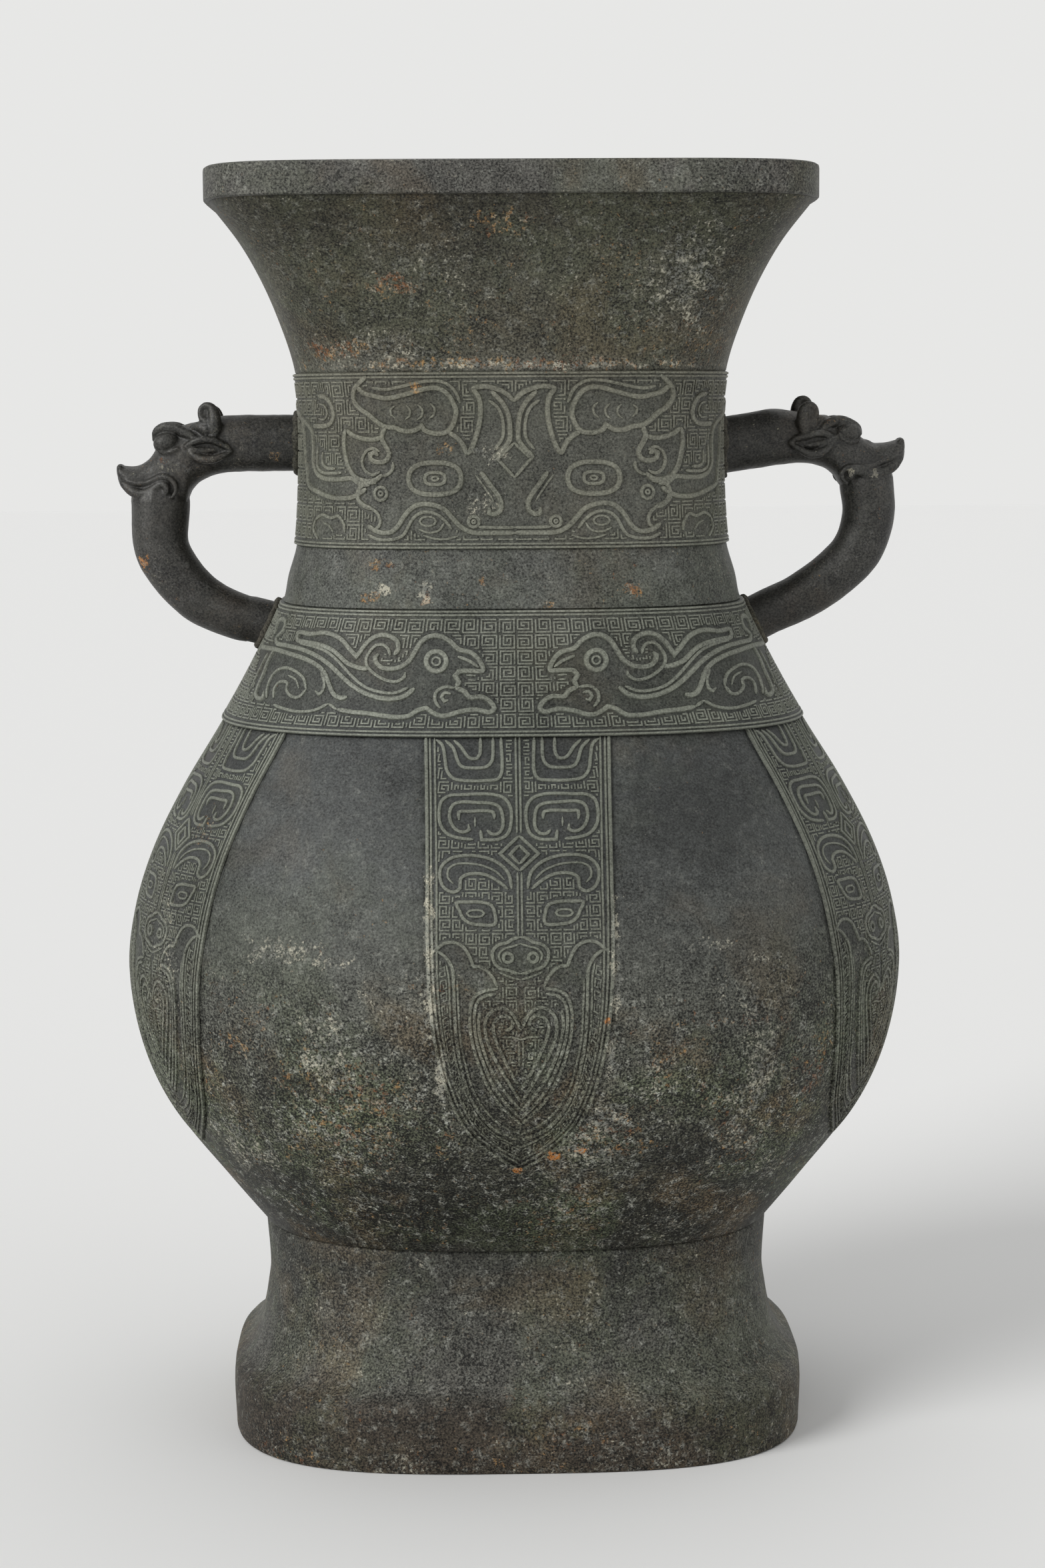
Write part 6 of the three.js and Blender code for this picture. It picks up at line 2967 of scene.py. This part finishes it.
@dataclass
class Studio:
    """Pale floor and background with soft light from far away, so that the floor is even."""

    floor_size: float = 14.0
    floor_shift: float = 0.3
    floor_roughness: float = 0.95
    floor_gloss: float = 0.1
    aim: tuple[float, float, float] = (0, 0, 0.2)
    lamps: tuple[Lamp, ...] = (
        Lamp("key_lamp", (-1.6, -1.3, 1.25), 30.0, 2.0),
        Lamp("fill_lamp", (1.6, -1.3, 0.7), 50.0, 0.32),
        Lamp("top_lamp", (0.1, 0.6, 2.0), 60.0, 0.5),
    )
    floor_tint: Colour = (0.885, 0.885, 0.875, 1.0)
    seen_tint: Colour = (0.8, 0.8, 0.79, 1.0)
    sky: float = 0.42

    def build(self) -> None:
        """Sets the stage, the lamps and the world."""
        deselect_all()
        shift = self.floor_size * self.floor_shift
        bpy.ops.mesh.primitive_plane_add(size=self.floor_size, location=(0, shift, 0))
        floor = bpy.context.object
        floor.name = "floor"
        settle(floor)
        floor.data.materials.append(self._paper())
        for lamp in self.lamps:
            self._hang(lamp)
        self._world()

    def _paper(self) -> bpy.types.Material:
        """A plain pale paper.

        Returns:
            The material.
        """
        sheet = NodeSheet("floor_paper")
        sheet.put(sheet.shader.inputs["Base Color"], self.floor_tint)
        sheet.put(sheet.shader.inputs["Roughness"], self.floor_roughness)
        sheet.put(sheet.shader.inputs["Specular IOR Level"], self.floor_gloss)
        return sheet.material

    def _hang(self, lamp: Lamp) -> None:
        """Sets one lamp, turned toward the vase.

        Args:
            lamp: The lamp.
        """
        data = bpy.data.lights.new(lamp.name, "SUN")
        data.energy = lamp.power
        data.angle = math.radians(lamp.breadth)
        item = bpy.data.objects.new(lamp.name, data)
        bpy.context.scene.collection.objects.link(item)
        item.location = lamp.place
        item.rotation_euler = (Vector(self.aim) - Vector(lamp.place)).to_track_quat("-Z", "Y").to_euler()

    def _world(self) -> None:
        """Even light, with a pale background to the camera, in reflections and through glass."""
        world = bpy.data.worlds.new("studio")
        world.use_nodes = True
        bpy.context.scene.world = world
        nodes, links = world.node_tree.nodes, world.node_tree.links
        nodes.clear()
        output = nodes.new("ShaderNodeOutputWorld")
        light = nodes.new("ShaderNodeBackground")
        light.inputs["Color"].default_value = (1, 1, 1, 1)
        light.inputs["Strength"].default_value = self.sky
        seen = nodes.new("ShaderNodeBackground")
        seen.inputs["Color"].default_value = self.seen_tint
        seen.inputs["Strength"].default_value = 1.0
        path = nodes.new("ShaderNodeLightPath")
        share = path.outputs["Is Camera Ray"]
        for ray in ("Is Glossy Ray", "Is Transmission Ray"):
            larger = nodes.new("ShaderNodeMath")
            larger.operation = "MAXIMUM"
            links.new(share, larger.inputs[0])
            links.new(path.outputs[ray], larger.inputs[1])
            share = larger.outputs[0]
        blend = nodes.new("ShaderNodeMixShader")
        links.new(share, blend.inputs[0])
        links.new(light.outputs[0], blend.inputs[1])
        links.new(seen.outputs[0], blend.inputs[2])
        links.new(blend.outputs[0], output.inputs["Surface"])


HANDLE_SETTINGS = (
    HandleSetting(
        side=Side.LEFT,
        arm_rise=60.0,
        tilt=0.0,
        roll=-3.0,
        drop=0.0,
        eye_shift=(0.0, 0.0),
        grin=0.0,
        loop_top_radius=11.3,
        root_angle=14.0,
        bend=((0.4, 0.985), (0.78, 0.66), (0.955, 0.24)),
    ),
    HandleSetting(
        side=Side.RIGHT,
        arm_rise=58.0,
        tilt=8.5,
        roll=7.0,
        drop=5.6,
        eye_shift=(-2.0, 1.9),
        grin=3.6,
        loop_top_radius=10.4,
        root_angle=27.0,
        bend=((0.25, 1.02), (0.52, 0.9), (0.8, 0.5)),
    ),
)


def main() -> None:
    """Builds the vase piece by piece."""
    logging.basicConfig(level=logging.INFO, format="%(asctime)s %(message)s", force=True)
    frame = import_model()
    deselect_all()
    bpy.context.scene.view_settings.view_transform = "Standard"
    view = PhotoView()
    view.add_camera()
    Studio().build()
    sizes = VesselSizes()
    body, foot = Outline(sizes.body_stations()), Outline(sizes.foot_stations())
    patina = finishes([stain.place(view, body) for stain in STAINS_AND_PAINTED_LIGHT])
    ground = GroundLevels()
    ornament = Ornament(sizes, body, view, ground)
    castings = Castings(sizes, body, foot, ground, ornament.blade_edge(), ornament.blade_place)
    for node, piece in castings.build().items():
        slot = {"mouth_lip": "lip_bronze", "foot_casting": "foot_bronze"}.get(node, "body_bronze")
        carry(piece, patina[slot], [node])
    for piece in (*ornament.mask_band(), *ornament.bird_band(), *ornament.blades()):
        carry(piece, patina["relief"])
    for setting in HANDLE_SETTINGS:
        handle = Handle(setting, sizes, body)
        side = setting.side.value
        carry(handle.head(), patina["handle_bronze"], [f"{side}_dragon_head"])
        carry(handle.loop(), patina["handle_bronze"], [f"{side}_handle_loop"])
        for node, piece in handle.collars().items():
            carry(piece, patina["solder"], [node])
    for name, node in frame["nodes"].items():
        if name == "base_plate" or name.endswith("tenon"):
            node.data.materials.clear()
            node.data.materials.append(patina["foot_bronze" if name == "base_plate" else "tenon_bronze"])


if __name__ == "__main__":
    main()
